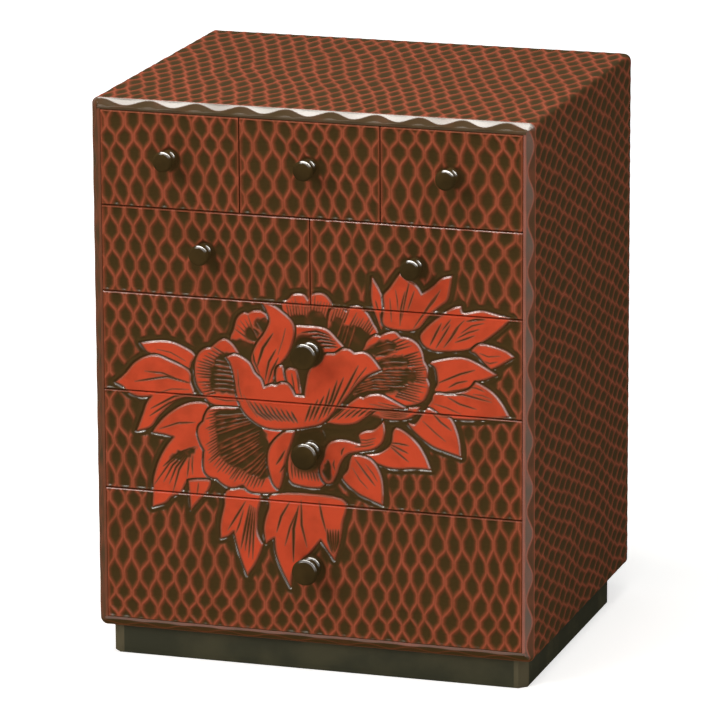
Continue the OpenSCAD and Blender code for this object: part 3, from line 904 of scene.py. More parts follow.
def carve_shape(name, a, b, field):
    """Carves one leaf, petal or hollow over what is there."""
    outline = SHAPES[name]
    close = near(a, b, outline, REACH)
    if not close.any():
        return
    x, z = a[close], b[close]
    inside = inside_distance(x, z, outline)
    outside = -inside
    here = {key: values[close] for key, values in field.items()}
    if name in HOLLOWS:
        cut = np.where(inside > 0, 0.35 + 0.75 * np.clip(inside / 3.0, 0, 1), here["low"])
        field["low"][close] = cut
        field["border"][close] = np.minimum(here["border"], outside)
        return

    open_ground = 1 - here["flower"]
    reach = 1.7 + 3.3 * open_ground
    ground = soft_step(reach - 0.9 - 1.2 * open_ground, reach, outside)
    far_wall = WALL_LOW - WALL_DROP * np.clip((outside - WALL_START) / WALL_WIDTH, 0, 1)
    far_wall = far_wall + (WALL_DROP - 0.35) * soft_step(1.6, 3.6, outside)
    sunk = here["low"] * ground + np.maximum(far_wall, here["low"] * 0.8) * (1 - ground)
    dark = here["border"] * ground - np.minimum(2.2 * outside + 0.4, 2.4) * (1 - ground)
    rim_drop = RIM_DROP * (1 - np.clip(inside / RIM_FACET, 0, 1))
    dish = 0.22 * (1 - np.exp(-inside.clip(0) / 9.0))
    face_low = rim_drop + dish + 0.05 * (1 + wander(x, z, len(name), 14))
    face_border = np.minimum(inside + 0.1, 4.0)
    carve_strokes(name, x, z, face_low, face_border)
    on_rim = 1 - soft_step(1.2, 1.6, np.abs(inside))
    shine = 0.35 + 0.65 * soft_step(-0.8, 0.3, wander(x, z, 3 * len(name), 26))
    if name in LOWEST:
        shine = shine * (1 - 0.85 * soft_step(114, 119, z))
    field["low"][close] = np.where(inside > 0, face_low, sunk)
    field["border"][close] = np.where(inside > 0, face_border, dark)
    field["flower"][close] = np.where(inside > 0, 1.0, here["flower"])
    plain = np.where(inside > 0, PLAIN_SHINE, here["gloss"])
    field["gloss"][close] = plain * (1 - on_rim) + shine * on_rim


# %% The whole front
# The place of each knob's middle, and the radius of its foot
KNOBS = {}
for name in DRAWERS:
    knob_low, knob_high = box_mm(name + "_knob")
    middle = (knob_low + knob_high) / 2
    KNOBS[name] = (middle[0], middle[2], 0.375 * (knob_high[0] - knob_low[0]) + 0.44)

# How much clear coat the upper edge of each row's fronts gets, which places a painted highlight
# along it: at the left, by how much that changes, and between which places across
EDGE_GLINT = [
    (0.0, 0.0, 0, 1), (0.05, 0.95, -80, 10), (0.65, -0.50, -30, 10), (0.20, 0.25, 60, 90),
    (0.70, -0.60, 10, 60),
]
ARRIS = 0.95


def carve_front(a, b, drawer, low_corner, high_corner):
    """The relief of one drawer front, at points a across and b up."""
    low, border = front_net(a, b)
    field = {"low": low, "border": border}
    field["gloss"], field["flower"] = np.full_like(low, PLAIN_SHINE), np.zeros_like(low)
    for name in ORDER:
        carve_shape(name, a, b, field)
    low, border, gloss = field["low"], field["border"], field["gloss"]
    knob_x, knob_z, foot = KNOBS[drawer]
    # Round each knob, centred a little below it, a shallow dish is cut and painted dark: painted
    # shadow of the knob.
    away = np.hypot(a - knob_x, b - knob_z + 1.5)
    knob_shadow_dish = 1 - soft_step(foot + 0.5, foot + 3.5, away)
    border = border * (1 - knob_shadow_dish) - 2.4 * knob_shadow_dish
    low = low * (1 - knob_shadow_dish) + 0.85 * knob_shadow_dish
    seat = 1 - soft_step(foot - 1.0, foot - 0.2, np.hypot(a - knob_x, b - knob_z))
    low = low * (1 - seat)
    ends = np.minimum(a - low_corner[0], high_corner[0] - a)
    top_gap, sill_gap = high_corner[2] - b, b - low_corner[2]
    border = np.maximum(border, 0.05 - np.abs(ends - 0.6))
    for gap, width in ((ends, 0.2), (sill_gap, 0.2), (top_gap, ARRIS)):
        share = 1 - soft_step(width, width + 0.8, gap)
        low = low * (1 - share) + np.minimum(low, 0.06) * share
        low = np.maximum(low, np.clip(width - gap, 0, None))
        gloss = gloss * (1 - 0.9 * share)
    # The upper arris of each front is painted a little lighter: a painted highlight along it.
    arris = 1 - soft_step(ARRIS, 1.2, top_gap)
    border = border * (1 - arris) + np.maximum(border, -0.4) * arris
    at_left, change, start, end = EDGE_GLINT[[drawer in row for row in ROWS].index(True)]
    wear_and_glint = at_left + change * soft_step(start, end, a)
    # The coat on each upper arris places a painted highlight along the seam above it.
    gloss = np.maximum(gloss, arris * wear_and_glint * (1 - 0.8 * field["flower"]))
    # Coat is kept only on what faces up, and a little to the right, so the glints are placed there:
    # a painted highlight
    slope = 0.47 * np.gradient(low, axis=0) / np.gradient(a, axis=0)
    slope = slope + 0.88 * np.gradient(low, axis=1) / np.gradient(b, axis=1)
    return low, border, gloss * (1 - knob_shadow_dish) * soft_step(0.30, 0.72, slope)


print("knobs:", {k: tuple(round(float(c), 1) for c in v) for k, v in KNOBS.items()})

# %% [markdown]
# ## From numbers to boards
#
# A flat grid is the start of every carved board. Its vertices are moved to the board's face and
# pushed in by the relief. Then its border is extruded back to the board's far face, and the hole
# that is left there is filled, so each board ends as one closed solid.

# %% A carved sheet and how it becomes a solid
def carved_sheet(name, u_stops, v_stops, shape):
    """A grid with its vertices moved to where shape puts them, and the carving on its vertices."""
    bm = bmesh.new()
    bmesh.ops.create_grid(bm, x_segments=len(u_stops) - 1, y_segments=len(v_stops) - 1, size=1.0)
    mesh = bpy.data.meshes.new(name)
    bm.to_mesh(mesh)
    bm.free()
    flat = np.empty(len(mesh.vertices) * 3, np.float32)
    mesh.vertices.foreach_get("co", flat)
    flat = (flat.reshape(-1, 3) + 1) / 2
    column = np.rint(flat[:, 0] * (len(u_stops) - 1)).astype(int)
    row = np.rint(flat[:, 1] * (len(v_stops) - 1)).astype(int)
    points, low, border, gloss = shape(*np.meshgrid(u_stops, v_stops, indexing="ij"))
    mesh.vertices.foreach_set("co", (points[column, row] * MM).astype(np.float32).ravel())
    for key, values in (("low", low), ("border", border), ("gloss", gloss)):
        made = mesh.attributes.new(key, "FLOAT", "POINT")
        made.data.foreach_set("value", values[column, row].astype(np.float32))
    return mesh


def close_behind(mesh, axis, level):
    """Extrudes a sheet's border to a plane behind it, and fills the hole that is left there."""
    bm = bmesh.new()
    bm.from_mesh(mesh)
    rim = [edge for edge in bm.edges if edge.is_boundary]
    made = bmesh.ops.extrude_edge_only(bm, edges=rim)["geom"]
    for vert in made:
        if isinstance(vert, bmesh.types.BMVert):
            vert.co[axis] = level * MM
    bmesh.ops.remove_doubles(bm, verts=bm.verts, dist=1e-6)
    bmesh.ops.holes_fill(bm, edges=[edge for edge in bm.edges if edge.is_boundary], sides=0)

    def behind(vert):
        return abs(vert.co[axis] - level * MM) < 1e-7

    straight = [
        edge for edge in bm.edges
        if behind(edge.verts[0]) != behind(edge.verts[1]) and edge.calc_face_angle(0.0) < 0.01
    ]
    bmesh.ops.dissolve_edges(bm, edges=straight, use_verts=True)
    bmesh.ops.recalc_face_normals(bm, faces=bm.faces)
    bm.to_mesh(mesh)
    bm.free()


print("sheet helpers ready")


# %% Cutters and the last steps of a piece
def box_cutter(bm, low, high):
    """A box-shaped cutter from one corner to the other, as a router's cut is."""
    low, high = Vector(low) * MM, Vector(high) * MM
    place = Matrix.Translation((low + high) / 2) @ Matrix.Diagonal((*(high - low), 1.0))
    bmesh.ops.create_cube(bm, size=1.0, matrix=place)


def drill_cutter(bm, x, z, radius, low_y, high_y):
    """A round cutter that runs from front to back."""
    middle = Vector((x, (low_y + high_y) / 2, z)) * MM
    bmesh.ops.create_cone(
        bm, cap_ends=True, segments=48, radius1=radius * MM, radius2=radius * MM,
        depth=(high_y - low_y) * MM,
        matrix=Matrix.Translation(middle) @ Matrix.Rotation(TAU / 4, 4, "X"),
    )


def cut_away(piece, bm):
    """Takes the cutters out of a piece."""
    cutter_mesh = bpy.data.meshes.new("cutter")
    bm.to_mesh(cutter_mesh)
    bm.free()
    cutter = bpy.data.objects.new("cutter", cutter_mesh)
    bpy.context.scene.collection.objects.link(cutter)
    cut = piece.modifiers.new("cut", "BOOLEAN")
    cut.operation = "DIFFERENCE"
    cut.solver = "MANIFOLD"
    cut.object = cutter
    result = piece.evaluated_get(bpy.context.evaluated_depsgraph_get())
    old, piece.data = piece.data, bpy.data.meshes.new_from_object(result)
    piece.modifiers.remove(cut)
    piece.data.name = piece.name
    bpy.data.meshes.remove(old)
    bpy.data.objects.remove(cutter)
    bpy.data.meshes.remove(cutter_mesh)


def finish_piece(piece, body, node, material, sharp):
    """Dresses a new piece, shades it smooth up to an angle, and sets it in a node's place."""
    piece.data.materials.clear()
    piece.data.materials.append(material)
    piece.data.shade_smooth()
    piece.data.set_sharp_from_angle(angle=math.radians(sharp))
    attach(piece, body)
    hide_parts(node)


def new_piece(name, mesh):
    """An object for a mesh, at the origin."""
    piece = bpy.data.objects.new(name, mesh)
    bpy.context.scene.collection.objects.link(piece)
    return piece


def stops(low, high, step):
    """Even stops from low to high, about one step apart."""
    return np.linspace(low, high, max(2, round((high - low) / step) + 1))


print("cutters ready")

# %% [markdown]
# ## Lacquer
#
# The lacquer is one effect that every carved board shares, so it is a node group. It takes the
# border distance and the depth, roughens the border a little, and runs from a dark olive brown in
# the hollows to red on the ridges and bright red on the petals. The deepest cuts are darkened a
# little more, which is painted shade. The group hands out a colour, a roughness and a height. The
# shader itself stays in the material.
#
# The shader has no shine of its own. All of it comes from a clear coat, whose weight is kept on the
# vertices as "gloss". The coat is laid by which way a surface faces, mostly up and a little to the
# right, so white glints show only there: painted highlights. The hollows stay deep and dark, where
# an even shine would lay a grey haze over them.

# %% The lacquer group
FLOAT, VECTOR, COLOUR = "NodeSocketFloat", "NodeSocketVector", "NodeSocketColor"
DARK = (0.0518, 0.0317, 0.0109, 1.0)
RED_BANDS = [
    (0.0, DARK), (0.25, (0.0590, 0.0325, 0.0115, 1.0)), (0.45, (0.094, 0.0370, 0.0145, 1.0)),
    (0.62, (0.140, 0.0430, 0.0180, 1.0)), (0.74, (0.190, 0.051, 0.0230, 1.0)),
    (0.83, (0.243, 0.060, 0.029, 1.0)), (0.92, (0.305, 0.072, 0.038, 1.0)),
]
PETAL_RED = (0.51, 0.060, 0.024, 1.0)
DEEP_RED = (0.25, 0.036, 0.014, 1.0)
PALE_RED = (0.53, 0.080, 0.035, 1.0)


def sockets(group, inputs, outputs):
    """Gives a node group its named inputs and outputs."""
    for name, kind in inputs.items():
        group.interface.new_socket(name, in_out="INPUT", socket_type=kind)
    for name, kind in outputs.items():
        group.interface.new_socket(name, in_out="OUTPUT", socket_type=kind)
    return add(group, "NodeGroupInput").outputs


def colour_band(tree, value, bands):
    """A run of colours over a value from 0 to 1."""
    made = add(tree, "ShaderNodeValToRGB", {"Fac": value})
    ramp = made.color_ramp
    while len(ramp.elements) < len(bands):
        ramp.elements.new(0.5)
    for element, (place, colour) in zip(ramp.elements, bands):
        element.position = place
        element.color = colour
    return made.outputs["Color"]


def build_lacquer():
    """Red lacquer on the ridges and dark lacquer in the hollows, with painted shade in the deepest
    cuts.
    """
    group = bpy.data.node_groups.new("carved_lacquer_effect", "ShaderNodeTree")
    given = sockets(
        group, {"Border": FLOAT, "Low": FLOAT, "Place": VECTOR},
        {"Colour": COLOUR, "Roughness": FLOAT, "Height": FLOAT},
    )
    fine = noise(group, given["Place"], 900.0, 3.0)
    broad = noise(group, given["Place"], 70.0, 4.0)
    cloud = noise(group, given["Place"], 14.0, 2.0)
    rough = calc(group, "MULTIPLY_ADD", fine, 0.50, -0.25)
    rough = calc(group, "ADD", rough, calc(group, "MULTIPLY_ADD", broad, 0.9, -0.45))
    ragged = calc(group, "ADD", given["Border"], rough)
    share = spread(group, ragged, -3.2, 0.8, smooth=False)
    colour = colour_band(group, share, RED_BANDS)
    wear_and_glint = calc(group, "MULTIPLY", spread(group, broad, 0.40, 0.72), 0.50)
    mottled = blend_colours(group, wear_and_glint, PETAL_RED, DEEP_RED)
    bright = blend_colours(group, calc(group, "MULTIPLY", cloud, 0.35), mottled, PALE_RED)
    petal = spread(group, given["Border"], 0.9, 1.8)
    colour = blend_colours(group, petal, colour, bright)
    # Deeper cuts are blended a little further to dark: painted shade in the hollows.
    hollow_shade = calc(group, "MULTIPLY", spread(group, given["Low"], 0.35, 1.1), 0.25)
    add(group, "NodeGroupOutput", {
        "Colour": blend_colours(group, hollow_shade, colour, DARK),
        "Roughness": calc(group, "MULTIPLY_ADD", fine, 0.16, 0.30),
        "Height": calc(group, "ADD", calc(group, "MULTIPLY", fine, 0.35), broad),
    })
    return group


# %% The carved boards' finish
carved_finish, tree = new_material("carved_lacquer_finish")
effect = add(tree, "ShaderNodeGroup", {
    "Border": kept(tree, "border"), "Low": kept(tree, "low"), "Place": place_of(tree),
}, node_tree=build_lacquer()).outputs
end_in_shader(tree, {
    "Base Color": effect["Colour"],
    "Roughness": effect["Roughness"],
    "Specular IOR Level": 0.0,
    "Coat Weight": kept(tree, "gloss"),
    "Coat Roughness": 0.20,
    "Coat IOR": 2.60,
    "Normal": bump_of(tree, effect["Height"], 0.00010),
})
print("lacquer:", carved_finish.name)

# %% [markdown]
# ## The drawer fronts
#
# The net and the flower run across all eight fronts as if they were one board, which is how the
# real ones are carved. So every front reads the same plan at its own place. The side walls are let
# into the back of each front, and the cuts for them run out of the front's end beside the case.

# %% The drawer fronts
FRONT_STEPS = {"third": 0.46, "fourth": 0.46, "fifth": 0.53}
FRONT_STEP = 0.48
LAP, WALL = 4.0, 5.0
SCREW_HOLE = 2.0
GROOVE_ROOM = 0.3


def drawer_front(name):
    """One carved front, closed behind, with the laps for its walls."""
    low, high = box_mm(name + "_front")
    wall_low, wall_high = box_mm(name + "_walls")
    panel_low, panel_high = box_mm(name + "_bottom")

    def shape(x, z):
        depth, border, gloss = carve_front(x, z, name, low, high)
        return np.stack([x, FRONT_Y + depth, z], axis=-1), depth, border, gloss

    step = FRONT_STEPS.get(name, FRONT_STEP)
    across, upwards = (stops(low[axis], high[axis], step) for axis in (0, 2))
    mesh = carved_sheet(name + "_carved_front", across, upwards, shape)
    close_behind(mesh, 1, high[1])
    piece = new_piece(name + "_carved_front", mesh)
    left = low[0] - 1 if wall_low[0] - 2 < low[0] else wall_low[0]
    right = high[0] + 1 if wall_high[0] + 2 > high[0] else wall_high[0]
    lap, back = high[1] - LAP, high[1] + 1
    bm = bmesh.new()
    box_cutter(bm, (left, lap, wall_low[2]), (wall_low[0] + WALL, back, wall_high[2]))
    box_cutter(bm, (wall_high[0] - WALL, lap, wall_low[2]), (right, back, wall_high[2]))
    drill_cutter(bm, KNOBS[name][0], KNOBS[name][1], SCREW_HOLE, low[1] - 1, back)
    cut_away(piece, bm)
    bm = bmesh.new()
    groove_high = (panel_high[0] + GROOVE_ROOM, back, panel_high[2] + GROOVE_ROOM)
    box_cutter(bm, panel_low - GROOVE_ROOM, groove_high)
    cut_away(piece, bm)
    finish_piece(piece, name + "_drawer", name + "_front", carved_finish, 62)
    return piece


fronts = [drawer_front(name) for name in DRAWERS]
print("fronts:", [len(piece.data.polygons) for piece in fronts])

# %% [markdown]
# ## The rim
#
# The front edge of the case is a chamfer at 45 degrees that runs all round. On the real chest it is
# cut with a knife in two rows of long flat cuts that interlock, so a wavy line runs along its
# middle. Along the top the outer cuts carry a clear coat, in clouds, and shine white: the coat is
# placed by which way a cut faces, so this is a painted highlight. Below, painted shade darkens the
# rim. At the sides there is little coat, and red shows along the line.

# %% The cuts along the rim
FLAT = HALF_W - EDGE_R
ROUND = EDGE_R * math.pi / 2
SECTION_HALF = FLAT + ROUND + BOARD - EDGE_R
SIDE_LENGTH = top_low[2] - bottom_high[2]
RIM_LOOP = 2 * (2 * SECTION_HALF + SIDE_LENGTH)
CUTS = 42
RIM_WIDTH = CHAMFER * math.sqrt(2)


def rim(along, x, z, share, facing_up):
    """The relief of the rim, at a distance along it and at a share of its width from outside. Its
    lacquer is dark on top, red at the sides and dark again below, where the dark is painted shade."""
    turn = TAU * CUTS * along / RIM_LOOP + 0.75 * wander(x, z, 41, 150) + 0.7
    middle = 0.5 + 0.31 * np.cos(turn)
    away = (share - middle) * RIM_WIDTH
    up, down = np.clip(facing_up, 0, 1), np.clip(-facing_up, 0, 1)
    upright = 1 - up - down
    low = 0.18 * np.clip(away, 0, None) + (0.03 + 0.10 * upright) * np.clip(-away, 0, None)
    low = np.clip(low, 0, 0.7) * (0.35 + 0.65 * soft_step(0.0, 0.25, share))
    inner_edge = (1 - share) * RIM_WIDTH + 3.0 * (1 - upright)
    edges = np.minimum(np.abs(away), np.minimum(share * RIM_WIDTH, inner_edge) + 0.15)
    # Where the rim faces down, its red line and its ground are darkened: painted shade.
    line = 0.45 - 2.0 * edges - 1.9 * up - 0.9 * down - 0.8 * upright * (x < 0)
    seam = down * soft_step(0.90, 1.0, share)
    ground = -1.5 - 0.9 * up - 1.0 * down + 0.4 * wander(x, z, 42, 20)
    outer = 1 - soft_step(-0.3, 0.2, away)
    cloudy = 0.85 + 0.15 * wander(x, z, 43, 30)
    # The coat lies on the outer cuts along the top and the inner cuts of the right side, placing
    # the glints: a painted highlight.
    glint_gloss = up * cloudy * (0.07 + 0.36 * outer) + upright * (0.04 + 0.14 * (1 - outer) * (x > 0))
    return low, np.maximum(line, ground) + 1.6 * seam, glint_gloss + 0.22 * seam


print("rim: %d cuts, %.1f mm apart" % (CUTS, RIM_LOOP / CUTS))

# %% [markdown]
# ## The outer boards
#
# The top and the bottom board turn round into the sides with a radius of 5 mm. So their grid is
# wrapped over the board's section: flat, then round the corner, and a little way down the side. The
# side boards are flat grids. The net runs from front to back on all four, which is how the real
# lines lie, and it meets itself at the seams.

# %% The nets of the outer boards
TOP_GAP, TOP_CELL = 5.3, 28.0
SIDE_GAP, SIDE_CELL = 5.5, 25.0
OUTER_DEPTH = 0.62
DIAGONAL = math.sqrt(0.5)


def top_net(x, y, seed):
    """The net on the top and on the bottom board."""
    across = x + 0.04 * y + 1.3 * wander(x, y, seed, 80) + 0.4 * wander(x, y, seed + 1, 25)
    turns = (y + 1.8 * wander(x, y, seed + 2, 80) + 0.9 * wander(x, y, seed + 3, 30)) / TOP_CELL
    return net(across, turns, TOP_GAP, TOP_CELL, seed + 4)


def side_net(y, z, seed):
    """The net on the side boards. Its cells get shorter towards the back, and its red is darkened a
    little as painted shade.
    """
    across = z + 1.3 * wander(y, z, seed, 80) + 0.4 * wander(y, z, seed + 1, 25)
    turns = (y + 1.8 * wander(y, z, seed + 2, 80) + 0.9 * wander(y, z, seed + 3, 30)) / SIDE_CELL
    turns = turns + 0.00002 * np.clip(y, 0, None) ** 2
    low, border = net(across, turns, SIDE_GAP, SIDE_CELL, seed + 4)
    # The sides' red is darkened a little: painted shade.
    return low, border - 0.35


def meet_rim(y, share, low, border, gloss, rim_values):
    """Puts the rim's own carving in place of the net's, where the grid lies on the rim. There the
    wood is cut at 45 degrees, and so is the way in: the last two numbers say how far back and how
    far inwards a point goes for its depth."""
    rim_low, rim_border, rim_gloss = rim_values
    on_rim = (share > 0) | (y <= FRONT_Y + CHAMFER + 1e-6)
    return (
        np.where(on_rim, rim_low, low), np.where(share > 0, rim_border, border),
        np.where(on_rim, rim_gloss, gloss), np.where(on_rim, DIAGONAL, 0.0),
        np.where(on_rim, DIAGONAL, 1.0),
    )


def at_ends(y, low, border):
    """Fades a net into the front edge, where the lacquer is redder, and into the back edge."""
    gap = y - (FRONT_Y + CHAMFER)
    fade = soft_step(0.0, 2.5, gap) * (0.3 + 0.7 * soft_step(0.0, 5.0, BACK_Y - y))
    red = 1 - soft_step(0.4, 1.6, gap)
    return low * fade * OUTER_DEPTH, border * (1 - red) + 0.25 * red


print("outer nets ready")


# %% The top and the bottom board
TOP_SHEEN, SIDE_SHEEN = 0.030, 0.012


def section_stops(step):
    """Stops along the board's section, with one on each of its joins."""
    arc = stops(FLAT, FLAT + ROUND, 0.8)[1:]
    down = stops(FLAT + ROUND, SECTION_HALF, 0.8)[1:]
    half = np.concatenate([arc, down])
    return np.concatenate([-half[::-1], stops(-FLAT, FLAT, step), half])


def depth_stops(step):
    """Stops from the back to the front edge, and then across the rim."""
    rim_stops = -stops(0, CHAMFER, 0.42)[1:] + FRONT_Y + CHAMFER
    return np.concatenate([stops(FRONT_Y + CHAMFER, BACK_Y, step)[::-1], rim_stops])


def carved_cap(name, node, step, depth_step):
    """The top board, or the bottom board as its mirror picture."""
    upside = 1.0 if node == "top_board" else -1.0
    face_z = top_high[2] if upside > 0 else bottom_low[2]
    seam_z = top_low[2] if upside > 0 else bottom_high[2]

    def shape(u, y):
        inset = np.clip(FRONT_Y + CHAMFER - y, 0, None)
        bend = np.clip(np.abs(u) - FLAT, 0, ROUND) / EDGE_R
        fall = np.clip(np.abs(u) - FLAT - ROUND, 0, None)
        side = np.sign(u)
        out_x, out_z = side * np.sin(bend), upside * np.cos(bend)
        x = np.clip(u, -FLAT, FLAT) + out_x * EDGE_R
        z = face_z + upside * (np.cos(bend) * EDGE_R - EDGE_R - fall)
        x, z = x - out_x * inset, z - out_z * inset

        flat_low, flat_border = top_net(u, y, 51 if upside > 0 else 61)
        up_side = seam_z + upside * (SECTION_HALF - np.abs(u))
        side_low, side_border = side_net(y, up_side, 71)
        corner = soft_step(FLAT + 2.6, FLAT + 5.2, np.abs(u))
        low = flat_low * (1 - corner) + side_low * corner
        border = flat_border * (1 - corner) + side_border * corner
        low = low * (1 - 0.65 * np.exp(-((np.abs(u) - FLAT - ROUND / 2) / 2.2) ** 2))
        low, border = at_ends(y, low, border)

        share = inset / CHAMFER
        along = u if upside > 0 else 2 * SECTION_HALF + SIDE_LENGTH - u
        sheen = SIDE_SHEEN * corner + TOP_SHEEN * (1 - corner) * (upside > 0)
        cuts = rim(along, x, z, share, out_z)
        low, border, gloss, back, inwards = meet_rim(y, share, low, border, sheen, cuts)
        low = low * (1 - share * (np.abs(u) > FLAT))
        x, z = x - out_x * low * inwards, z - out_z * low * inwards
        return np.stack([x, y + low * back, z], axis=-1), low, border, gloss

    mesh = carved_sheet(name, section_stops(step), depth_stops(depth_step), shape)
    close_behind(mesh, 2, seam_z)
    return new_piece(name, mesh)


print("section: %.1f mm flat, then %.1f mm round each corner" % (2 * FLAT, ROUND))


# %% The side boards, and all four of them
def carved_side(name, node, step, depth_step):
    """The left or the right board."""
    low_corner, high_corner = box_mm(node)
    side = 1.0 if node == "right_side_board" else -1.0
    inner = low_corner[0] if side > 0 else high_corner[0]

    def shape(z, y):
        inset = np.clip(FRONT_Y + CHAMFER - y, 0, None)
        low, border = side_net(y, z, 71)
        low, border = at_ends(y, low, border)
        share = inset / CHAMFER
        along = side * (SECTION_HALF + high_corner[2] - z)
        x = side * (HALF_W - inset)
        cuts = rim(along, x, z, share, np.zeros_like(z))
        low, border, gloss, back, inwards = meet_rim(y, share, low, border, SIDE_SHEEN, cuts)
        points = np.stack([x - side * low * inwards, y + low * back, z], axis=-1)
        return points, low, border, gloss

    upwards = stops(low_corner[2], high_corner[2], step)
    mesh = carved_sheet(name, upwards, depth_stops(depth_step), shape)
    close_behind(mesh, 0, inner)
    return new_piece(name, mesh)


boards = {
    "top_board": carved_cap("carved_top", "top_board", 0.64, 1.5),
    "bottom_board": carved_cap("carved_bottom", "bottom_board", 1.2, 2.5),
    "left_side_board": carved_side("carved_left_side", "left_side_board", 0.64, 1.5),
    "right_side_board": carved_side("carved_right_side", "right_side_board", 0.64, 1.5),
}
print("boards:", {name: len(piece.data.polygons) for name, piece in boards.items()})

# %% The rebate for the back and the housings
rebate_high = back_high + (0.0, 1.0, 0.0)
SHELVES = ["top_row_shelf", "second_row_shelf", "third_row_shelf", "fourth_row_shelf"]
DIVIDERS = ["top_row_left_divider", "top_row_right_divider", "second_row_divider"]
for name, piece in boards.items():
    held = SHELVES if "side" in name else DIVIDERS[:2] if name == "top_board" else []
    for cuts in ([(back_low, rebate_high)], [box_mm(node) for node in held]):
        if cuts:
            bm = bmesh.new()
            for cut in cuts:
                box_cutter(bm, *cut)
            cut_away(piece, bm)
    finish_piece(piece, "case", name, carved_finish, 62)
print("boards cut:", {name: len(piece.data.polygons) for name, piece in boards.items()})

# %% [markdown]
# ## The knobs
#
# Each knob is turned from one piece: a thick foot, a hollow neck and a round face. A lathe makes
# it, and so does spin: half of its outline is drawn once and turned right round. Its bore takes
# the screw from behind.
#
# The foot and the face each have a flat bevel. Its coat is laid only above and to the right, so a
# crescent glint shines there and the rest of the rim stays dark: a painted highlight. How much coat
# each point of a bevel gets is kept on the vertices as "gloss", as on the carved boards.

# %% The knobs
NECK = 4.0


def knob_outline(foot, face, reach):
    """Half of the knob's outline, from its bore to the middle of its face: radius, way out from the
    drawer front, and 1 on a bevel. Two points at each end keep a bevel flat in smooth shading."""
    foot_thick, face_thick, dome, bore, bore_depth = 5.0, 3.6, 0.8, 1.75, 6.5
    front = reach - dome
    line = [
        (0.0, bore_depth, 0), (bore, bore_depth, 0), (bore, 0.0, 0), (foot - 1.0, 0.0, 0),
        (foot - 0.3, 0.6, 0), (foot - 0.02, 1.8, 0), (foot - 0.02, 3.3, 0),
        (foot - 0.06, 3.42, 1), (foot - 0.10, 3.48, 1), (foot - 0.98, 4.43, 1),
        (foot - 1.04, 4.47, 1), (foot - 1.3, 4.6, 0),
    ]
    start, end = foot_thick, front - face_thick
    for t in np.linspace(0.0, 1.0, 9):
        flare = (2 * t - 1) ** 4
        wide = (foot - 1.4 - NECK) * 0.8 if t < 0.5 else face - 1.2 - NECK
        line.append((NECK + wide * flare, start + (end - start) * t, 0))
    line += [
        (face - 0.35, front - 2.9, 0), (face - 0.02, front - 2.0, 0),
        (face - 0.02, front - 1.25, 0), (face - 0.05, front - 1.18, 1),
        (face - 0.09, front - 1.13, 1), (face - 1.19, front + 0.05, 1),
        (face - 1.25, front + 0.09, 1), (face - 1.5, front + 0.16, 0),
    ]
    crown = face - 2.4
    for t in (0.0, 0.25, 0.5, 0.75, 0.9):
        line.append((crown * (1 - t), front + 0.25 + 0.5 * t * (2 - t), 0))
    return line + [(0.0, reach - 0.005, 0)]


print("knob outline:", len(knob_outline(8.0, 8.0, 17.0)), "points")

# %% Turning a knob
# Where a bevel gets its coat, and so its painted highlight, in degrees from its top towards the
# right, and how slowly that fades
LARGE_BRIGHT, SMALL_FACE_BRIGHT, SMALL_FOOT_BRIGHT = (-22, 60), (-12, 42), (30, 60)
FADE_IN, FADE_OUT = 12, 22
SMALL_FACE, FOOT_REGION = 8.0, 6.0


def brightness(turn, face, out):
    """How much coat a bevel gets, which places its painted highlight, at a turn round its knob and
    a way out from the drawer front.
    """
    start, stop = LARGE_BRIGHT
    if face < SMALL_FACE:
        start, stop = SMALL_FOOT_BRIGHT if out < FOOT_REGION else SMALL_FACE_BRIGHT
    rise = soft_step(start - FADE_IN, start + FADE_IN, turn)
    return rise * (1 - soft_step(stop, stop + FADE_OUT, turn))


def turned_knob(name):
    """Spins a knob's outline about its own axis."""
    low, high = box_mm(name + "_knob")
    face, reach = (high[0] - low[0]) / 2, high[1] - low[1]
    knob_x, knob_z, foot = KNOBS[name]
    bm = bmesh.new()
    glint_gloss = bm.verts.layers.float.new("gloss")
    verts = []
    for radius, out, wear_and_glint in knob_outline(foot, face, reach):
        place = ((knob_x + radius) * MM, (high[1] - out) * MM, knob_z * MM)
        verts.append(bm.verts.new(place))
        verts[-1][glint_gloss] = wear_and_glint
    edges = [bm.edges.new(pair) for pair in zip(verts, verts[1:])]
    bmesh.ops.spin(
        bm, geom=verts + edges, cent=(knob_x * MM, 0, knob_z * MM), axis=(0, 1, 0), angle=TAU,
        steps=72, use_merge=True,
    )
    bmesh.ops.remove_doubles(bm, verts=bm.verts, dist=1e-6)
    bmesh.ops.recalc_face_normals(bm, faces=bm.faces)
    for vert in bm.verts:
        # Only the turns listed above keep the coat, which places the crescent glints: a painted
        # highlight.
        turn = math.degrees(math.atan2(vert.co.x - knob_x * MM, vert.co.z - knob_z * MM))
        vert[glint_gloss] *= float(brightness(turn, face, high[1] - vert.co.y / MM))
    mesh = bpy.data.meshes.new(name + "_turned_knob")
    bm.to_mesh(mesh)
    bm.free()
    return new_piece(name + "_turned_knob", mesh)


print("bright on a large knob: from %d to %d degrees" % LARGE_BRIGHT)

# %% [markdown]
# ## The other finishes
#
# The knobs and the plinth have black lacquer. Under the light it shows a little brown, and a coat
# of it is never quite even. The chamfered corners of the plinth are painted paler, a painted
# highlight where they catch the light. The inside of the chest is plain wood, with its grain along
# each board: its pattern is stretched along one axis, and a Mapping node turns it for the boards
# that run the other way.

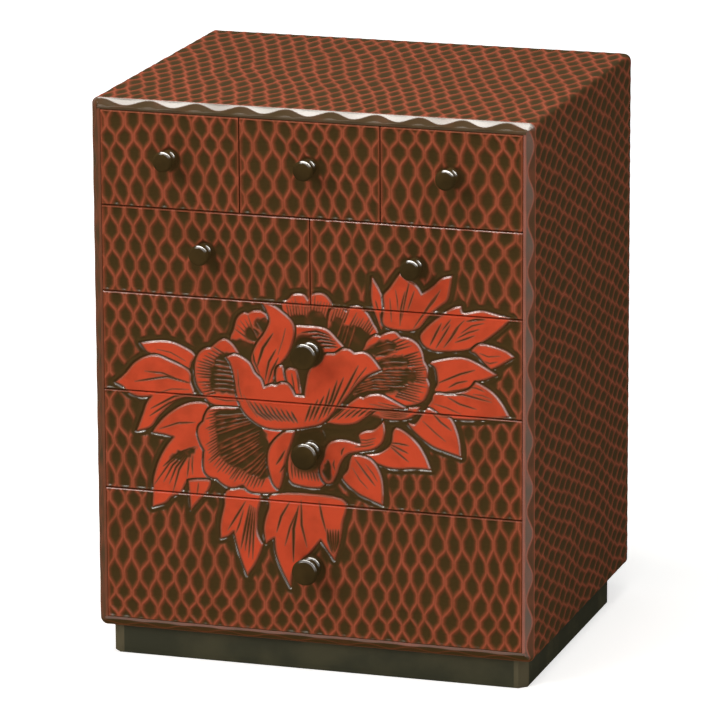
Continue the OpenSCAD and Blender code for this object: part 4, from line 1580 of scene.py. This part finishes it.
# %% The grain and the lacquer coat
def build_grain():
    """Wood grain along the X axis of the place it is given."""
    group = bpy.data.node_groups.new("wood_grain_effect", "ShaderNodeTree")
    given = sockets(group, {"Place": VECTOR}, {"Ring": FLOAT, "Pore": FLOAT})

    def stretched(*scale):
        values = {0: given["Place"], 1: scale}
        return add(group, "ShaderNodeVectorMath", values, operation="MULTIPLY").outputs[0]

    ring = noise(group, stretched(1.6, 42.0, 42.0), 1.0, 5.0, Distortion=0.6)
    pore = noise(group, stretched(30.0, 1400.0, 1400.0), 1.0, 2.0)
    rings = calc(group, "PINGPONG", calc(group, "MULTIPLY", ring, 7.0), 1.0)
    add(group, "NodeGroupOutput", {"Ring": rings, "Pore": pore})
    return group


def build_coat():
    """The uneven coat of plain black lacquer."""
    group = bpy.data.node_groups.new("black_lacquer_effect", "ShaderNodeTree")
    given = sockets(group, {"Place": VECTOR}, {"Cloud": FLOAT, "Speck": FLOAT})
    cloud, speck = noise(group, given["Place"], 32.0, 4.0), noise(group, given["Place"], 700.0, 3.0)
    add(group, "NodeGroupOutput", {"Cloud": cloud, "Speck": speck})
    return group


grain_effect = build_grain()
coat_effect = build_coat()
print("effects:", [group.name for group in bpy.data.node_groups])


# %% Wood
def effect_of(tree, group, place):
    """What a shared effect puts out at a place."""
    return add(tree, "ShaderNodeGroup", {"Place": place}, node_tree=group).outputs


def wood_material(name, pale, deep, turn):
    """Plain wood whose grain runs along X, or another way by a turn about Z."""
    made, tree = new_material(name)
    values = {"Vector": place_of(tree), "Rotation": (0.0, 0.0, turn)}
    effect = effect_of(tree, grain_effect, add(tree, "ShaderNodeMapping", values).outputs[0])
    pore = effect["Pore"]
    rings = calc(tree, "MULTIPLY", effect["Ring"], 0.55)
    share = calc(tree, "MULTIPLY_ADD", spread(tree, pore, 0.35, 0.70), 0.35, rings)
    end_in_shader(tree, {
        "Base Color": blend_colours(tree, share, pale, deep),
        "Roughness": calc(tree, "MULTIPLY_ADD", pore, 0.20, 0.50),
        "Specular IOR Level": 0.30,
        "Normal": bump_of(tree, pore, 0.00008),
    })
    return made


QUARTER = math.radians(90)
LIGHT_WOOD = ((0.52, 0.37, 0.22, 1.0), (0.34, 0.21, 0.11, 1.0))
CASE_WOOD = ((0.40, 0.26, 0.14, 1.0), (0.24, 0.14, 0.07, 1.0))
drawer_along = wood_material("drawer_wood_lengthways", *LIGHT_WOOD, QUARTER)
drawer_across = wood_material("drawer_wood_crossways", *LIGHT_WOOD, 0.0)
case_across = wood_material("case_wood_crossways", *CASE_WOOD, 0.0)
case_along = wood_material("case_wood_lengthways", *CASE_WOOD, QUARTER)
print("woods:", [made.name for made in (drawer_along, drawer_across, case_across, case_along)])

# %% Black lacquer and metal
PLINTH_LOW, PLINTH_HIGH = box_mm("plinth_front_rail")
PLINTH_CHAMFER = 5.0


def painted_corner_highlight(tree, colour, wear_and_glint):
    """Paints the chamfered front corners of the plinth a paler colour: a painted highlight."""
    parts = add(tree, "ShaderNodeSeparateXYZ", {"Vector": place_of(tree)}).outputs
    across = calc(tree, "SUBTRACT", calc(tree, "ABSOLUTE", parts["X"]), parts["Y"])
    level = PLINTH_HIGH[0] - PLINTH_LOW[1] - PLINTH_CHAMFER
    share = spread(tree, across, (level - 0.9) * MM, (level - 0.1) * MM)
    return blend_colours(tree, share, colour, wear_and_glint)


def black_material(name, tint, brown, low_rough, wear_and_glint=None):
    """Black lacquer that shows a little brown where it is thin."""
    made, tree = new_material(name)
    effect = effect_of(tree, coat_effect, place_of(tree))
    speck = effect["Speck"]
    colour = blend_colours(tree, spread(tree, effect["Cloud"], 0.38, 0.66), tint, brown)
    if wear_and_glint:
        colour = painted_corner_highlight(tree, colour, wear_and_glint)
    end_in_shader(tree, {
        "Base Color": colour,
        "Roughness": calc(tree, "MULTIPLY_ADD", speck, 0.16, low_rough),
        "Specular IOR Level": 0.0,
        "Coat Weight": kept(tree, "gloss"),
        "Coat Roughness": 0.15,
        "Coat IOR": 2.20,
        "Normal": bump_of(tree, speck, 0.00003),
    })
    return made


def metal_material(name, colour, low_rough):
    """Plain drawn metal."""
    made, tree = new_material(name)
    effect = effect_of(tree, coat_effect, place_of(tree))
    dull = tuple(c * 0.72 for c in colour[:3]) + (1.0,)
    end_in_shader(tree, {
        "Base Color": blend_colours(tree, effect["Cloud"], colour, dull),
        "Metallic": 1.0,
        "Roughness": calc(tree, "MULTIPLY_ADD", effect["Speck"], 0.20, low_rough),
    })
    return made


# The last colour is the painted highlight on the plinth's chamfered corners.
plinth_black = black_material(
    "plinth_lacquer", (0.043, 0.043, 0.028, 1.0), (0.062, 0.058, 0.035, 1.0), 0.34,
    (0.100, 0.086, 0.052, 1.0),
)
knob_black = black_material(
    "knob_lacquer_finish", (0.034, 0.022, 0.008, 1.0), (0.052, 0.032, 0.011, 1.0), 0.22,
)
steel = metal_material("screw_steel_finish", (0.56, 0.57, 0.58, 1.0), 0.28)
brass = metal_material("pin_brass_finish", (0.78, 0.57, 0.27, 1.0), 0.24)
print("lacquers and metals:", [made.name for made in (plinth_black, knob_black, steel, brass)])

# %% Finishes for the knobs and the frame's own nodes
for name in DRAWERS:
    knob = turned_knob(name)
    finish_piece(knob, name + "_drawer", name + "_knob", knob_black, 50)


def dress(node, finish):
    """Gives a CAD node a finer material."""
    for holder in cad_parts[node].material_slots:
        holder.material = finish


for name in DRAWERS:
    dress(name + "_walls", drawer_along)
    dress(name + "_bottom", drawer_across)
    dress(name + "_screw", steel)
for node in SHELVES + ["plinth_glue_blocks"]:
    dress(node, case_across)
for node in DIVIDERS:
    dress(node, case_along)
dress("back_board", plinth_black)
for side in ("front", "back", "left", "right"):
    dress("plinth_%s_rail" % side, plinth_black)
dress("back_pins", brass)
print("finishes:", len(bpy.data.materials))
